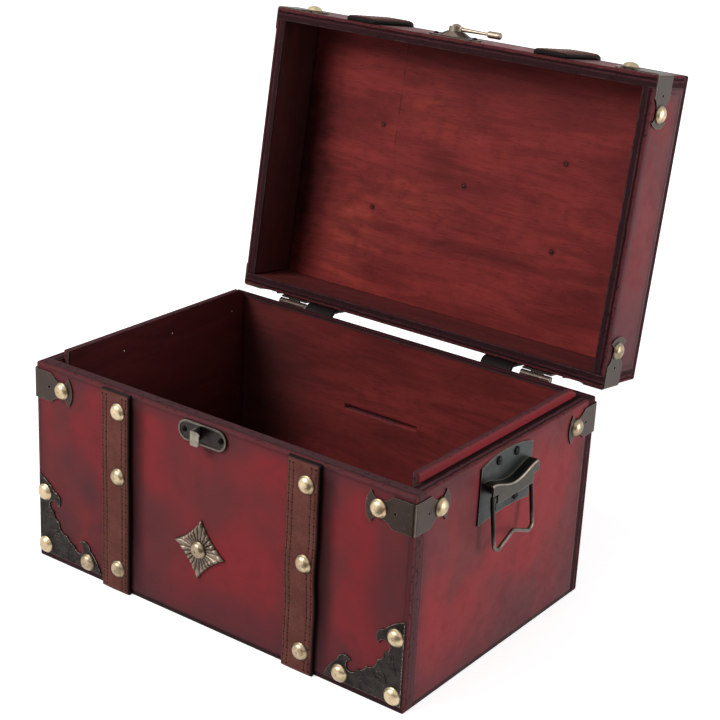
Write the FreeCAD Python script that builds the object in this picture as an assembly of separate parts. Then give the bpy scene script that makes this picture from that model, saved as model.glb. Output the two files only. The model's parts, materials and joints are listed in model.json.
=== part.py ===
"""Wooden money box made like a small trunk: a nailed case with a hinged lid that leans open.

Millimetres. X runs to the right, Y to the back, Z up. The origin is the middle of the underside.
The lid is modelled shut on the base and then turned back about the hinge pins.
"""
import FreeCAD, Part
import math
import os

# Case
box_width = 270.0
box_depth = 181.0
base_height = 126.0
lid_height = 41.5
base_wall = 8.6
lip_clearance = 1.1        # lid walls to the lip boards inside them
lid_top_thickness = 5.0
floor_thickness = 6.0
edge_round = 1.2           # worn outer edges
rim_gap = 0.3              # shut lid above the base's rim

# Lip boards lining the end walls
lip_thickness = 4.0
lip_rise = 5.6
lip_front_gap = 5.5        # they start behind the front wall
lip_round = 1.2
lip_rear_slope = 6.0
lip_rear_drop = 4.0

# Coin slot through the back wall, left of the middle
slot_x = -9.5
slot_length = 55.6
slot_height = 2.8
slot_level = 72.8

# Hinges
open_angle = 98.5          # where the hinges stop
hinge_out = 3.8            # pin axis behind the back faces
hinge_drop = 1.0           # pin axis below the base's rim
hinge_inset = 43.0         # hinge centre from the box's end
hinge_length = 20.0
hinge_leaf_height = 15.0
hinge_leaf_thickness = 1.2
knuckle_radius = 2.3
knuckle_gap = 0.3
middle_knuckle = 8.0
pin_radius = 1.1
pin_clearance = 0.05
leaf_screw_spacing = 11.0

# Leather straps
strap_inset = 67.5         # strap centre from the box's end
strap_shift = -1.9         # all straps sit a little left of their places
strap_width = 21.2
strap_thickness = 3.2
strap_round = 0.6
strap_end_gap = 0.4        # strap ends short of rims and underside
wrap_relief = 0.3          # bent pieces are sharper than the edge they wrap
fold_bend = 5.0            # middle radius of the fold behind the hinge
fold_base_reach = 7.0      # fold below the base's rim
fold_lid_reach = 6.0       # fold above the lid's rim

# Upholstery nails
stud_diameter = 11.0
stud_height = 4.0
strap_stud_offset = 2.9    # nailed right of the middle of a strap
strap_stud_low = 15.5
strap_stud_middle = 71.4
strap_stud_stagger = 2.9   # middle stud higher on the left front strap, lower on the right one
strap_stud_drop = 11.6     # highest strap stud below the rim
strap_stud_slip = 1.7      # studs of the right front strap lower than those of the left one
lid_stud_spread = 27.0     # lid strap studs in front of and behind the middle

# Wrapped corner brackets
sheet = 1.0                # thickness of brackets, corner plates and latch sheet
bracket_height = 18.0
bracket_length = 30.0
bracket_knee = 13.0        # straight part of a leg
bracket_stud = 21.8        # stud centre from the corner
bracket_waist = 9.2
bracket_tip = 26.6
bracket_tip_height = 17.6
bracket_hole = 11.5
bracket_hole_radius = 0.9
base_bracket_drop = 12.8   # bracket centre below the base's rim
lid_bracket_rise = 10.2    # bracket centre above the lid's rim

# Scalloped corner plates
plate_margin = 1.5
plate_length = 52.0
plate_lift = 2.9           # front plates above the underside
plate_stud_near = 6.5
plate_stud_far = 41.3
plate_hollow = 1.5         # middle scallop inside the line of its cusps
# From a tip to the middle scallop in arcs, as distance back from the tip and in from the edge
plate_arcs = (
    ((3.5, 8.4), (8.8, 14.4)),
    ((13.4, 18.8), (17.6, 17.0)),
    ((14.6, 13.6), (16.4, 10.0)),
    ((19.8, 10.4), (22.4, 13.2)),
    ((25.6, 14.4), (27.8, 17.4)),
)

# Rosettes
rosette_side = 26.0
rosette_hollow = 1.6       # how far each side is drawn in
rosette_sheet = 0.8
rosette_seat = 1.8         # height of the flat under the stud
rosette_eye = 4.5          # radius of that flat
rosette_petals = 24
petal_root = 0.5           # petals are half cones, radius at the eye
petal_end = 1.7            # radius at the middle of a side
rosette_turn = 42.0        # nailed on a little off the true diamond
rosette_x = -6.5           # on the front, left of the middle
rosette_level = 48.0

# Swing latch
latch_x = -5.3
latch_rise = 9.5           # pivot above the lid's rim
latch_plate_length = 36.0
latch_plate_height = 11.0
latch_pan_length = 23.0
latch_pan_top = 11.0
latch_pan_height = 3.8
arm_standoff = 5.4         # arm's middle plane in front of the wood
arm_thickness = 2.8        # of its eye
arm_neck_radius = 1.35     # the arm tapers from its eye to the barrel
arm_rod_radius = 0.9
arm_eye_radius = 4.5
arm_reach = 22.6           # pivot to the barrel's shoulder
barrel_length = 9.0
barrel_radius = 2.1
barrel_round = 0.9
rivet_radius = 1.5
rivet_head_radius = 3.0
rivet_head_height = 1.4
arm_clearance = 0.3
catch_drop = 8.0          # catch centre below the base's rim
catch_length = 34.5
catch_height = 12.5
catch_border = 1.3
catch_rim = 0.7
catch_hook_height = 8.4
catch_hook_gap = 0.7       # hook to the arm it holds
screw_spacing = 26.0

# Drop handles
handle_y = -6.2
handle_drop = 21.5         # bail axis below the rim
handle_width = 51.0
handle_plate_thickness = 1.2
handle_shoulder = 17.0     # plate's upper corners above the axis
handle_arch = 4.0
handle_foot = 16.5         # plate's lower corners below the axis
handle_foot_arch = 2.0
handle_screw_upper = (8.8, 16.6)
handle_screw_lower = (11.0, -10.5)
wire_radius = 1.15
axle_out = 5.0             # bail axis in front of the end wall
bail_spread = 39.0
bail_drop = 33.0
bail_notch = 7.5
bail_shoulder_bend = 2.6
bail_foot_bend = 4.0
bail_notch_bend = 3.0
bail_stub_gap = 8.0        # between the wire's two ends inside the hood
bail_clearance = 0.1
bail_lean = 7.0            # rests swung this far out
hood_length = 46.0
hood_thickness = 1.2
hood_crown = 8.4           # hood above the axis at its ends
hood_dip = 4.8             # lower than that in the middle
hood_skirt = 3.5           # hood below the axis
hood_bend = 1.9
window_rise = 2.2          # bail windows at the hood's ends, above the axis
window_clearance = 0.5
lug_inner = 8.0
lug_length = 5.0
lug_wall = 0.8

# Screws
screw_head_radius = 2.2
screw_head_height = 1.2

# Worked out from the sizes above
half_width = box_width / 2
half_depth = box_depth / 2
strap_x = half_width - strap_inset
hinge_x = half_width - hinge_inset
lid_wall = base_wall - lip_clearance
lid_rim = base_height + rim_gap
lid_top = lid_rim + lid_height
axis_y = half_depth + hinge_out
axis_z = base_height - hinge_drop
handle_axis_z = base_height - handle_drop
wrap_radius = edge_round - wrap_relief

X = FreeCAD.Vector(1, 0, 0)
Y = FreeCAD.Vector(0, 1, 0)
Z = FreeCAD.Vector(0, 0, 1)


def vec(x, y, z=0.0):
    return FreeCAD.Vector(x, y, z)


def block(low, high):
    """Box between two opposite corners."""
    size = vec(*high) - vec(*low)
    return Part.makeBox(size.x, size.y, size.z, vec(*low))


def outline(start, *steps):
    """Closed wire in XY. A step is the end of a line, or the middle and end of an arc."""
    edges = []
    here = vec(*start)
    for step in steps:
        if isinstance(step[0], tuple):
            there = vec(*step[1])
            edges.append(Part.Arc(here, vec(*step[0]), there).toShape())
        else:
            there = vec(*step)
            edges.append(Part.LineSegment(here, there).toShape())
        here = there
    if (here - vec(*start)).Length > 1e-6:
        edges.append(Part.LineSegment(here, vec(*start)).toShape())
    return Part.Wire(edges)


def extrude(wire, height):
    return Part.Face(wire).extrude(Z * height)


def stadium(length, height):
    """Wire of a slot shape round the origin."""
    straight = (length - height) / 2
    radius = height / 2
    return outline(
        (-straight, -radius),
        (straight, -radius),
        ((straight + radius, 0), (straight, radius)),
        (-straight, radius),
        ((-straight - radius, 0), (-straight, -radius)),
    )


def rounded_path(points, radii):
    """Open wire in XY through points, with the inner corners bent to the given radii."""
    edges = []
    here = vec(*points[0])
    for before, corner, after, radius in zip(points, points[1:], points[2:], radii):
        corner = vec(*corner)
        inward = (vec(*before) - corner).normalize()
        onward = (vec(*after) - corner).normalize()
        half = inward.getAngle(onward) / 2
        start = corner + inward * (radius / math.tan(half))
        end = corner + onward * (radius / math.tan(half))
        to_centre = (inward + onward).normalize()
        middle = corner + to_centre * (radius / math.sin(half) - radius)
        edges.append(Part.LineSegment(here, start).toShape())
        edges.append(Part.Arc(start, middle, end).toShape())
        here = end
    edges.append(Part.LineSegment(here, vec(*points[-1])).toShape())
    return Part.Wire(edges)


def placed(shape, origin, u, v):
    """Copy of a shape drawn in XY, with its X along u, its Y along v and its Z along u cross v."""
    n = u.cross(v)
    matrix = FreeCAD.Matrix(
        u.x, v.x, n.x, origin.x,
        u.y, v.y, n.y, origin.y,
        u.z, v.z, n.z, origin.z,
        0, 0, 0, 1,
    )
    copy = shape.copy()
    copy.Placement = FreeCAD.Placement(matrix).multiply(copy.Placement)
    return copy


def on_front(shape, x, z, out=0.0):
    return placed(shape, vec(x, -half_depth - out, z), X, Z)


def on_back(shape, x, z, out=0.0):
    return placed(shape, vec(x, half_depth + out, z), -X, Z)


def on_right(shape, y, z, out=0.0):
    return placed(shape, vec(half_width + out, y, z), Y, Z)


def on_left(shape, y, z, out=0.0):
    return placed(shape, vec(-half_width - out, y, z), -Y, Z)


def on_lid_top(shape, x, y, out=0.0):
    return placed(shape, vec(x, y, lid_top + out), X, Y)


def mirrored(shape):
    """The same piece on the other side of the box."""
    return shape.mirror(vec(0, 0, 0), X)


def leaned(shape):
    """A piece of the shut lid, turned back to where the open lid stops."""
    copy = shape.copy()
    copy.rotate(vec(0, axis_y, axis_z), X, -open_angle)
    return copy


def worn_block(low, high):
    """Block with its outer edges worn round."""
    solid = block(low, high)
    return solid.makeFillet(edge_round, solid.Edges)


def base_panels():
    """Front and back lap the ends, and the floor lies between all four."""
    case = worn_block((-half_width, -half_depth, 0), (half_width, half_depth, base_height))
    inner_x = half_width - base_wall
    inner_y = half_depth - base_wall
    front = block((-half_width, -half_depth, 0), (half_width, -inner_y, base_height))
    back = block((-half_width, inner_y, 0), (half_width, half_depth, base_height))
    right = block((inner_x, -inner_y, 0), (half_width, inner_y, base_height))
    slot = block(
        (slot_x - slot_length / 2, inner_y - base_wall, slot_level - slot_height / 2),
        (slot_x + slot_length / 2, half_depth + base_wall, slot_level + slot_height / 2),
    )
    right_end = case.common(right)
    return {
        "base_front": case.common(front),
        "base_back": case.common(back).cut(slot),
        "base_right_end": right_end,
        "base_left_end": mirrored(right_end),
        "base_floor": block((-inner_x, -inner_y, 0), (inner_x, inner_y, floor_thickness)),
    }


def lip_boards():
    """Boards lining the end walls, standing above the rim to guide the lid."""
    front_y = base_wall - half_depth + lip_front_gap
    back_y = half_depth - base_wall
    top = base_height + lip_rise
    profile = outline(
        (front_y, floor_thickness),
        (back_y, floor_thickness),
        (back_y, top - lip_rear_drop),
        (back_y - lip_rear_slope, top),
        (front_y, top),
    )
    board = placed(extrude(profile, lip_thickness), vec(half_width - base_wall - lip_thickness, 0, 0), Y, Z)
    crest = [e for e in board.Edges if e.BoundBox.ZMin > top - 0.01]
    along = [e for e in crest if e.BoundBox.YLength > lip_thickness * 2]
    board = board.makeFillet(lip_round, along)
    return {"lip_right": board, "lip_left": mirrored(board)}


def lid_panels():
    """The top covers four walls, and front and back lap the ends as on the base."""
    case = worn_block((-half_width, -half_depth, lid_rim), (half_width, half_depth, lid_top))
    inner_x = half_width - lid_wall
    inner_y = half_depth - lid_wall
    under = lid_top - lid_top_thickness
    front = block((-half_width, -half_depth, lid_rim), (half_width, -inner_y, under))
    back = block((-half_width, inner_y, lid_rim), (half_width, half_depth, under))
    right = block((inner_x, -inner_y, lid_rim), (half_width, inner_y, under))
    cover = block((-half_width, -half_depth, under), (half_width, half_depth, lid_top))
    right_end = case.common(right)
    return {
        "lid_front": case.common(front),
        "lid_back": case.common(back),
        "lid_right_end": right_end,
        "lid_left_end": mirrored(right_end),
        "lid_top_panel": case.common(cover),
    }


def flat_strap(length):
    """Straight strap lying in XY from the origin along Y, with softened long edges."""
    strap = block((-strap_width / 2, 0, 0), (strap_width / 2, length, strap_thickness))
    upper = [e for e in strap.Edges if e.BoundBox.ZMin > strap_thickness - 0.01]
    return strap.makeFillet(strap_round, [e for e in upper if e.BoundBox.YLength > strap_thickness])


def strap_pair(name, right):
    """A strap of the right side and its mirror image, both shifted as they are nailed."""
    shift = X * strap_shift
    return {name + "_right": right.translated(shift), name + "_left": mirrored(right).translated(shift)}


def base_straps():
    """Straps up the front, and up the back as far as the folds behind the hinges."""
    front = on_front(flat_strap(base_height - 2 * strap_end_gap), strap_x, strap_end_gap)
    back = on_back(flat_strap(base_height - strap_end_gap - fold_base_reach), strap_x, strap_end_gap)
    return {**strap_pair("strap_front", front), **strap_pair("strap_back", back)}


def lid_straps():
    """One strap from the lid's front rim over the top and down to the fold behind the hinge."""
    outer = wrap_radius + strap_thickness
    lean = math.sqrt(0.5)
    front_z = lid_rim + strap_end_gap
    back_z = lid_rim + fold_lid_reach
    centre_y = half_depth - wrap_radius
    centre_z = lid_top - wrap_radius
    profile = outline(
        (-half_depth, front_z),
        (-half_depth, centre_z),
        ((-centre_y - wrap_radius * lean, centre_z + wrap_radius * lean), (-centre_y, lid_top)),
        (centre_y, lid_top),
        ((centre_y + wrap_radius * lean, centre_z + wrap_radius * lean), (half_depth, centre_z)),
        (half_depth, back_z),
        (half_depth + strap_thickness, back_z),
        (half_depth + strap_thickness, centre_z),
        ((centre_y + outer * lean, centre_z + outer * lean), (centre_y, lid_top + strap_thickness)),
        (-centre_y, lid_top + strap_thickness),
        ((-centre_y - outer * lean, centre_z + outer * lean), (-half_depth - strap_thickness, centre_z)),
        (-half_depth - strap_thickness, front_z),
    )
    strap = placed(extrude(profile, strap_width), vec(strap_x - strap_width / 2, 0, 0), Y, Z)
    return strap_pair("lid_strap", leaned(strap))


def turned_back(y, z):
    """Where a point of the shut lid's YZ plane lies on the open lid, as Y and Z."""
    lean = math.radians(open_angle)
    dy = y - axis_y
    dz = z - axis_z
    return (axis_y + dy * math.cos(lean) + dz * math.sin(lean),
            axis_z - dy * math.sin(lean) + dz * math.cos(lean))


def strap_folds():
    """Bent leather between the base's back straps and the open lid's straps."""
    lean = math.radians(open_angle)
    along_lid = (math.sin(lean), math.cos(lean))
    middle_y = half_depth + strap_thickness / 2
    lid_end = turned_back(middle_y, lid_rim + fold_lid_reach)
    run = (lid_end[0] - middle_y) / along_lid[0]
    corner_z = lid_end[1] - run * along_lid[1]
    bend_start = corner_z - fold_bend * math.tan(lean / 2)
    centre = (middle_y + fold_bend, bend_start)

    def on_arc(radius, share):
        turn = lean * share
        return (centre[0] - radius * math.cos(turn), centre[1] + radius * math.sin(turn))

    near = fold_bend + strap_thickness / 2
    far = fold_bend - strap_thickness / 2
    foot = base_height - fold_base_reach
    profile = outline(
        (half_depth, foot),
        (half_depth, bend_start),
        (on_arc(near, 0.5), on_arc(near, 1)),
        turned_back(half_depth, lid_rim + fold_lid_reach),
        turned_back(half_depth + strap_thickness, lid_rim + fold_lid_reach),
        on_arc(far, 1),
        (on_arc(far, 0.5), (half_depth + strap_thickness, bend_start)),
        (half_depth + strap_thickness, foot),
    )
    fold = placed(extrude(profile, strap_width), vec(strap_x - strap_width / 2, 0, 0), Y, Z)
    return strap_pair("strap_fold", fold)


def stud():
    """Domed nail head seated on XY."""
    radius = stud_diameter / 2
    ball = (radius ** 2 + stud_height ** 2) / (2 * stud_height)
    cap = Part.makeSphere(ball, vec(0, 0, stud_height - ball))
    return cap.common(block((-ball, -ball, 0), (ball, ball, 2 * ball)))


def base_studs():
    head = stud()
    studs = []
    for side in (-1, 1):
        strap = side * strap_x + strap_shift
        middle = strap_stud_middle - side * strap_stud_stagger
        slip = strap_stud_slip if side > 0 else 0
        for level in (strap_stud_low, middle, base_height - strap_stud_drop):
            studs.append(on_front(head, strap + strap_stud_offset, level - slip, strap_thickness))
        for level in (strap_stud_low, strap_stud_middle):
            studs.append(on_back(head, strap, level, strap_thickness))
        near_x = side * (half_width - plate_stud_near)
        studs.append(on_front(head, near_x, plate_lift + plate_stud_near, sheet))
        studs.append(on_front(head, near_x, plate_lift + plate_stud_far, sheet))
        far_x = side * (half_width - plate_stud_far)
        studs.append(on_front(head, far_x, plate_lift + plate_stud_near, sheet))
    studs.append(on_front(head, rosette_x, rosette_level, rosette_seat))
    studs.extend(bracket_studs(base_height - base_bracket_drop))
    for side in (-1, 1):
        studs.append(on_back(head, side * (half_width - bracket_stud), base_height - base_bracket_drop, sheet))
    return {"base_studs": Part.makeCompound(studs)}


def lid_studs():
    head = stud()
    studs = bracket_studs(lid_rim + lid_bracket_rise)
    for side_x in (-1, 1):
        for side_y in (-1, 1):
            near_x = side_x * (half_width - plate_stud_near)
            near_y = side_y * (half_depth - plate_stud_near)
            far_x = side_x * (half_width - plate_stud_far)
            far_y = side_y * (half_depth - plate_stud_far)
            for x, y in ((near_x, near_y), (near_x, far_y), (far_x, near_y)):
                studs.append(on_lid_top(head, x, y, sheet))
            strap = side_x * strap_x + strap_shift + strap_stud_offset
            studs.append(on_lid_top(head, strap, side_y * lid_stud_spread, strap_thickness))
    studs.append(on_lid_top(head, 0, 0, rosette_seat))
    return {"lid_studs": leaned(Part.makeCompound(studs))}


def bracket_studs(level):
    """Studs on the front and end legs of the brackets at all four corners."""
    head = stud()
    studs = []
    along_x = half_width - bracket_stud
    along_y = half_depth - bracket_stud
    for side in (-1, 1):
        studs.append(on_front(head, side * along_x, level, sheet))
        studs.append(on_right(head, side * along_y, level, sheet))
        studs.append(on_left(head, side * along_y, level, sheet))
    return studs


def bracket_leg():
    """Flat leg in XY, its corner on the Y axis and its axe-shaped end round a stud."""
    top = bracket_height / 2
    waist = bracket_waist / 2
    tip = bracket_tip_height / 2
    dip = (top + 2 * waist) / 3
    knee_middle = (bracket_knee + bracket_stud) / 2 - (top - waist) / 5
    tip_middle = (bracket_stud + bracket_tip) / 2 + (tip - waist) / 5
    leg = extrude(outline(
        (wrap_radius, -top),
        (bracket_knee, -top),
        ((knee_middle, -dip), (bracket_stud, -waist)),
        ((tip_middle, -dip), (bracket_tip, -tip)),
        ((bracket_length, 0), (bracket_tip, tip)),
        ((tip_middle, dip), (bracket_stud, waist)),
        ((knee_middle, dip), (bracket_knee, top)),
        (wrap_radius, top),
    ), sheet)
    return leg.cut(Part.makeCylinder(bracket_hole_radius, 3 * sheet, vec(bracket_hole, 0, -sheet)))


def corner_bracket(level):
    """Sheet bracket bent round the front right corner."""
    leg = bracket_leg()
    side_leg = on_right(leg, -half_depth, level)
    front_leg = placed(leg.mirror(vec(0, 0, 0), X), vec(half_width, -half_depth, level), X, Z)
    pivot = vec(half_width - wrap_radius, wrap_radius - half_depth, level - bracket_height / 2)
    bend = Part.makeCylinder(wrap_radius + sheet, bracket_height, pivot, Z, 90)
    bend = bend.cut(Part.makeCylinder(wrap_radius, bracket_height, pivot, Z, 90))
    bend.rotate(pivot, Z, -90)
    return side_leg.fuse([front_leg, bend]).removeSplitter()


def brackets(name, level, place):
    """Four brackets, each a mirror image of the front right one."""
    front_right = corner_bracket(level)
    back_right = front_right.mirror(vec(0, 0, 0), Y)
    return {
        name + "_front_right": place(front_right),
        name + "_front_left": place(mirrored(front_right)),
        name + "_back_right": place(back_right),
        name + "_back_left": place(mirrored(back_right)),
    }


def corner_plate():
    """Scalloped plate in XY for the corner at the origin, the same along both edges."""
    along_x = [tuple((plate_length - back, rise) for back, rise in arc) for arc in plate_arcs]
    along_y = [tuple((rise, along) for along, rise in arc) for arc in along_x]
    cusp_x, cusp_y = along_x[-1][1]
    middle = (cusp_x + cusp_y) / 2 - plate_hollow
    x_tip = (plate_length, plate_margin)
    y_tip = (plate_margin, plate_length)
    returns = [((middle, middle), (cusp_y, cusp_x))]
    ends = [arc[1] for arc in along_y[:-1]]
    for arc, end in zip(reversed(along_y), [*reversed(ends), y_tip]):
        returns.append((arc[0], end))
    wire = outline((plate_margin, plate_margin), x_tip, *along_x, *returns)
    return extrude(wire, sheet)


def front_plates():
    plate = corner_plate()
    right = placed(plate.mirror(vec(0, 0, 0), X), vec(half_width, -half_depth, plate_lift), X, Z)
    return {"corner_plate_right": right, "corner_plate_left": mirrored(right)}


def lid_plates():
    plate = corner_plate()
    plates = {}
    for side_x, side in ((1, "right"), (-1, "left")):
        for side_y, end in ((1, "back"), (-1, "front")):
            local = plate
            if side_x > 0:
                local = local.mirror(vec(0, 0, 0), X)
            if side_y > 0:
                local = local.mirror(vec(0, 0, 0), Y)
            corner = on_lid_top(local, side_x * half_width, side_y * half_depth)
            plates["lid_plate_%s_%s" % (end, side)] = leaned(corner)
    return plates


def rosette():
    """Diamond of petals on XY: half cones from a round eye to four drawn-in sides."""
    half = rosette_side / 2
    drawn = half - rosette_hollow
    square = outline(
        (-half, -half),
        ((0, -drawn), (half, -half)),
        ((drawn, 0), (half, half)),
        ((0, drawn), (-half, half)),
        ((-drawn, 0), (-half, -half)),
    )
    pieces = [Part.makeCylinder(rosette_eye, rosette_seat)]
    for index in range(rosette_petals):
        turn = index * 360 / rosette_petals
        off_side = math.radians((turn + 45) % 90 - 45)
        reach = (half - rosette_hollow * (1 - math.tan(off_side) ** 2)) / math.cos(off_side)
        root = vec(rosette_eye / 2, 0, rosette_sheet)
        petal = Part.makeCone(petal_root, petal_end * drawn / reach, reach - root.x, root, X)
        petal.rotate(vec(0, 0, 0), Z, turn)
        pieces.append(petal)
    boss = extrude(square, rosette_sheet).fuse(pieces)
    boss = boss.cut(block((-rosette_side, -rosette_side, -rosette_side), (rosette_side, rosette_side, 0)))
    boss.rotate(vec(0, 0, 0), Z, rosette_turn)
    return boss.removeSplitter()


def rosettes():
    return {
        "rosette": on_front(rosette(), rosette_x, rosette_level),
        "lid_rosette": leaned(on_lid_top(rosette(), 0, 0)),
    }


def screw_head():
    """Low domed head seated on XY."""
    ball = (screw_head_radius ** 2 + screw_head_height ** 2) / (2 * screw_head_height)
    cap = Part.makeSphere(ball, vec(0, 0, screw_head_height - ball))
    return cap.common(block((-ball, -ball, 0), (ball, ball, 2 * ball)))


def latch():
    """Raised latch plate, its rivet, and the arm lying to the right on the lid's front."""
    level = lid_rim + latch_rise
    plate = extrude(stadium(latch_plate_length, latch_plate_height), sheet)
    low = stadium(latch_pan_length, latch_plate_height)
    high = stadium(latch_pan_top, latch_plate_height - 2 * sheet)
    low.translate(Z * sheet)
    high.translate(Z * latch_pan_height)
    plate = plate.fuse(Part.makeLoft([low, high], True, True))
    eye_foot = arm_standoff - arm_thickness / 2
    eye_top = arm_standoff + arm_thickness / 2
    plate = plate.cut(Part.makeCylinder(rivet_radius, latch_pan_height))

    head_foot = eye_top + arm_clearance
    shank = Part.makeCylinder(rivet_radius, head_foot)
    ball = (rivet_head_radius ** 2 + rivet_head_height ** 2) / (2 * rivet_head_height)
    dome = Part.makeSphere(ball, vec(0, 0, head_foot + rivet_head_height - ball))
    dome = dome.common(block((-ball, -ball, head_foot), (ball, ball, head_foot + 2 * ball)))
    rivet = shank.fuse(dome)

    eye = Part.makeCylinder(arm_eye_radius, arm_thickness, vec(0, 0, eye_foot))
    rod = Part.makeCone(arm_neck_radius, arm_rod_radius, arm_reach, vec(0, 0, arm_standoff), X)
    barrel = Part.makeCylinder(barrel_radius, barrel_length, vec(arm_reach, 0, arm_standoff), X)
    barrel = barrel.makeFillet(barrel_round, [e for e in barrel.Edges if e.Closed])
    arm = eye.fuse([rod, barrel])
    arm = arm.cut(Part.makeCylinder(rivet_radius + pin_clearance, 2 * eye_top))
    return {
        "latch_plate": leaned(on_front(plate, latch_x, level)),
        "latch_rivet": leaned(on_front(rivet, latch_x, level)),
        "latch_arm": leaned(on_front(arm, latch_x, level)),
    }


def catch():
    """Rimmed plate with a hook, open to the right, that the swung arm slips behind."""
    plate = extrude(stadium(catch_length, catch_height), sheet + catch_rim)
    recess = extrude(stadium(catch_length - 2 * catch_border, catch_height - 2 * catch_border), catch_rim)
    recess.translate(Z * sheet)
    plate = plate.cut(recess)
    room = arm_neck_radius + catch_hook_gap
    back = arm_standoff + room
    hook = extrude(outline(
        (-room - sheet, 0),
        (-room, 0),
        (-room, back),
        (room, back),
        (room, back + sheet),
        (-room, back + sheet),
        ((-room - sheet * math.sqrt(0.5), back + sheet * math.sqrt(0.5)), (-room - sheet, back)),
    ), catch_hook_height)
    hook = placed(hook, vec(0, catch_hook_height / 2, 0), X, Z)
    piece = plate.fuse(hook).removeSplitter()
    return {"catch": on_front(piece, latch_x, base_height - catch_drop)}


def hood_section(y, crown, grow):
    """Wire across the hood at y, grown outwards or inwards, its skirt lengthened when inner."""
    out = axle_out + wire_radius + bail_clearance + lug_wall / 2 + hood_thickness - grow
    top = crown - grow
    skirt = -hood_skirt - 2 * grow
    back = -grow
    bend = hood_bend - grow / 2
    lean = bend * math.sqrt(0.5)
    wire = outline(
        (back, skirt),
        (out, skirt),
        (out, top - bend),
        ((out - bend + lean, top - bend + lean), (out - bend, top)),
        (back, top),
    )
    return placed(wire, vec(0, y, 0), X, Z)


def hood():
    """Sheet hood over the bail's axle: crowned ends, a dip in the middle, windows for the bail."""
    half = hood_length / 2
    stations = (-1.0, -0.5, 0.0, 0.5, 1.0)

    def form(grow):
        sections = []
        for station in stations:
            crown = hood_crown - hood_dip * math.cos(station * math.pi / 2) ** 2
            sections.append(hood_section(station * (half + grow), crown, grow))
        return Part.makeLoft(sections, True, False)

    solid = form(0.0).cut(form(hood_thickness))
    window = bail_spread / 2 - wire_radius - window_clearance
    for side in (-1, 1):
        low, high = sorted((side * window, side * hood_length))
        solid = solid.cut(block((0, low, -hood_length), (hood_length, high, window_rise)))
    return solid


def handle_plate():
    """Arched plate with its hood and two axle lugs, X out of the wall and Z up from the axle."""
    half = handle_width / 2
    face = extrude(outline(
        (-half, -handle_foot),
        ((0, handle_foot_arch - handle_foot), (half, -handle_foot)),
        (half, handle_shoulder),
        ((0, handle_shoulder + handle_arch), (-half, handle_shoulder)),
    ), handle_plate_thickness)
    piece = placed(face, vec(0, 0, 0), Y, Z)
    lug_radius = wire_radius + bail_clearance + lug_wall
    pieces = [hood()]
    for start in (lug_inner, -lug_inner - lug_length):
        pieces.append(Part.makeCylinder(lug_radius, lug_length, vec(axle_out, start, 0), Y))
        pieces.append(block((0, start, -lug_radius), (axle_out, start + lug_length, lug_radius)))
    piece = piece.fuse(pieces)
    bore = wire_radius + bail_clearance
    return piece.cut(Part.makeCylinder(bore, hood_length, vec(axle_out, -hood_length / 2, 0), Y))


def bail():
    """Bent wire, its two ends in the lugs and its grip notched up in the middle."""
    half = bail_spread / 2
    stub = bail_stub_gap / 2
    points = ((-stub, 0), (-half, 0), (-half, -bail_drop), (0, bail_notch - bail_drop),
              (half, -bail_drop), (half, 0), (stub, 0))
    radii = (bail_shoulder_bend, bail_foot_bend, bail_notch_bend, bail_foot_bend, bail_shoulder_bend)
    path = placed(rounded_path(points, radii), vec(axle_out, 0, 0), Y, Z)
    ring = Part.Wire(Part.makeCircle(wire_radius, vec(axle_out, -stub, 0), Y))
    sweep = Part.BRepOffsetAPI.MakePipeShell(path)
    sweep.add(ring)
    sweep.build()
    sweep.makeSolid()
    return sweep.shape()


def handles():
    place = vec(half_width, handle_y, handle_axis_z)
    plate = placed(handle_plate(), place, X, Y)
    wire = bail()
    wire.rotate(vec(axle_out, 0, 0), Y, -bail_lean)
    wire = placed(wire, place, X, Y)
    return {
        "handle_plate_right": plate,
        "handle_plate_left": mirrored(plate),
        "bail_right": wire,
        "bail_left": mirrored(wire),
    }


def hinge_leaf(spans, up):
    """Leaf on the back face with knuckles over the given spans, going up on the lid."""
    half = hinge_length / 2
    low, high = sorted((up * knuckle_gap, up * hinge_leaf_height))
    leaf = block((-half, -hinge_out, low), (half, hinge_leaf_thickness - hinge_out, high))
    pieces = []
    for start, end in spans:
        pieces.append(Part.makeCylinder(knuckle_radius, end - start, vec(start, 0, 0), X))
        low, high = sorted((0, up * knuckle_radius))
        pieces.append(block((start, -hinge_out, low), (end, 0, high)))
    leaf = leaf.fuse(pieces)
    bore = pin_radius + pin_clearance
    return leaf.cut(Part.makeCylinder(bore, hinge_length, vec(-half, 0, 0), X))


def hinges():
    """Butt hinges screwed to the back faces, with the pins held by the base leaves."""
    half = hinge_length / 2
    inner = middle_knuckle / 2
    place = vec(hinge_x, axis_y, axis_z)
    base_leaf = hinge_leaf(((-half, -inner - knuckle_gap), (inner + knuckle_gap, half)), -1)
    lid_leaf = hinge_leaf(((-inner, inner),), 1)
    base_leaf.translate(place)
    lid_leaf.translate(place)
    pin = Part.makeCylinder(pin_radius, hinge_length, place - X * half, X)
    return {
        "hinge_base_right": base_leaf,
        "hinge_base_left": mirrored(base_leaf),
        "hinge_lid_right": leaned(lid_leaf),
        "hinge_lid_left": leaned(mirrored(lid_leaf)),
        "hinge_pins": Part.makeCompound([pin, mirrored(pin)]),
    }


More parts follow.
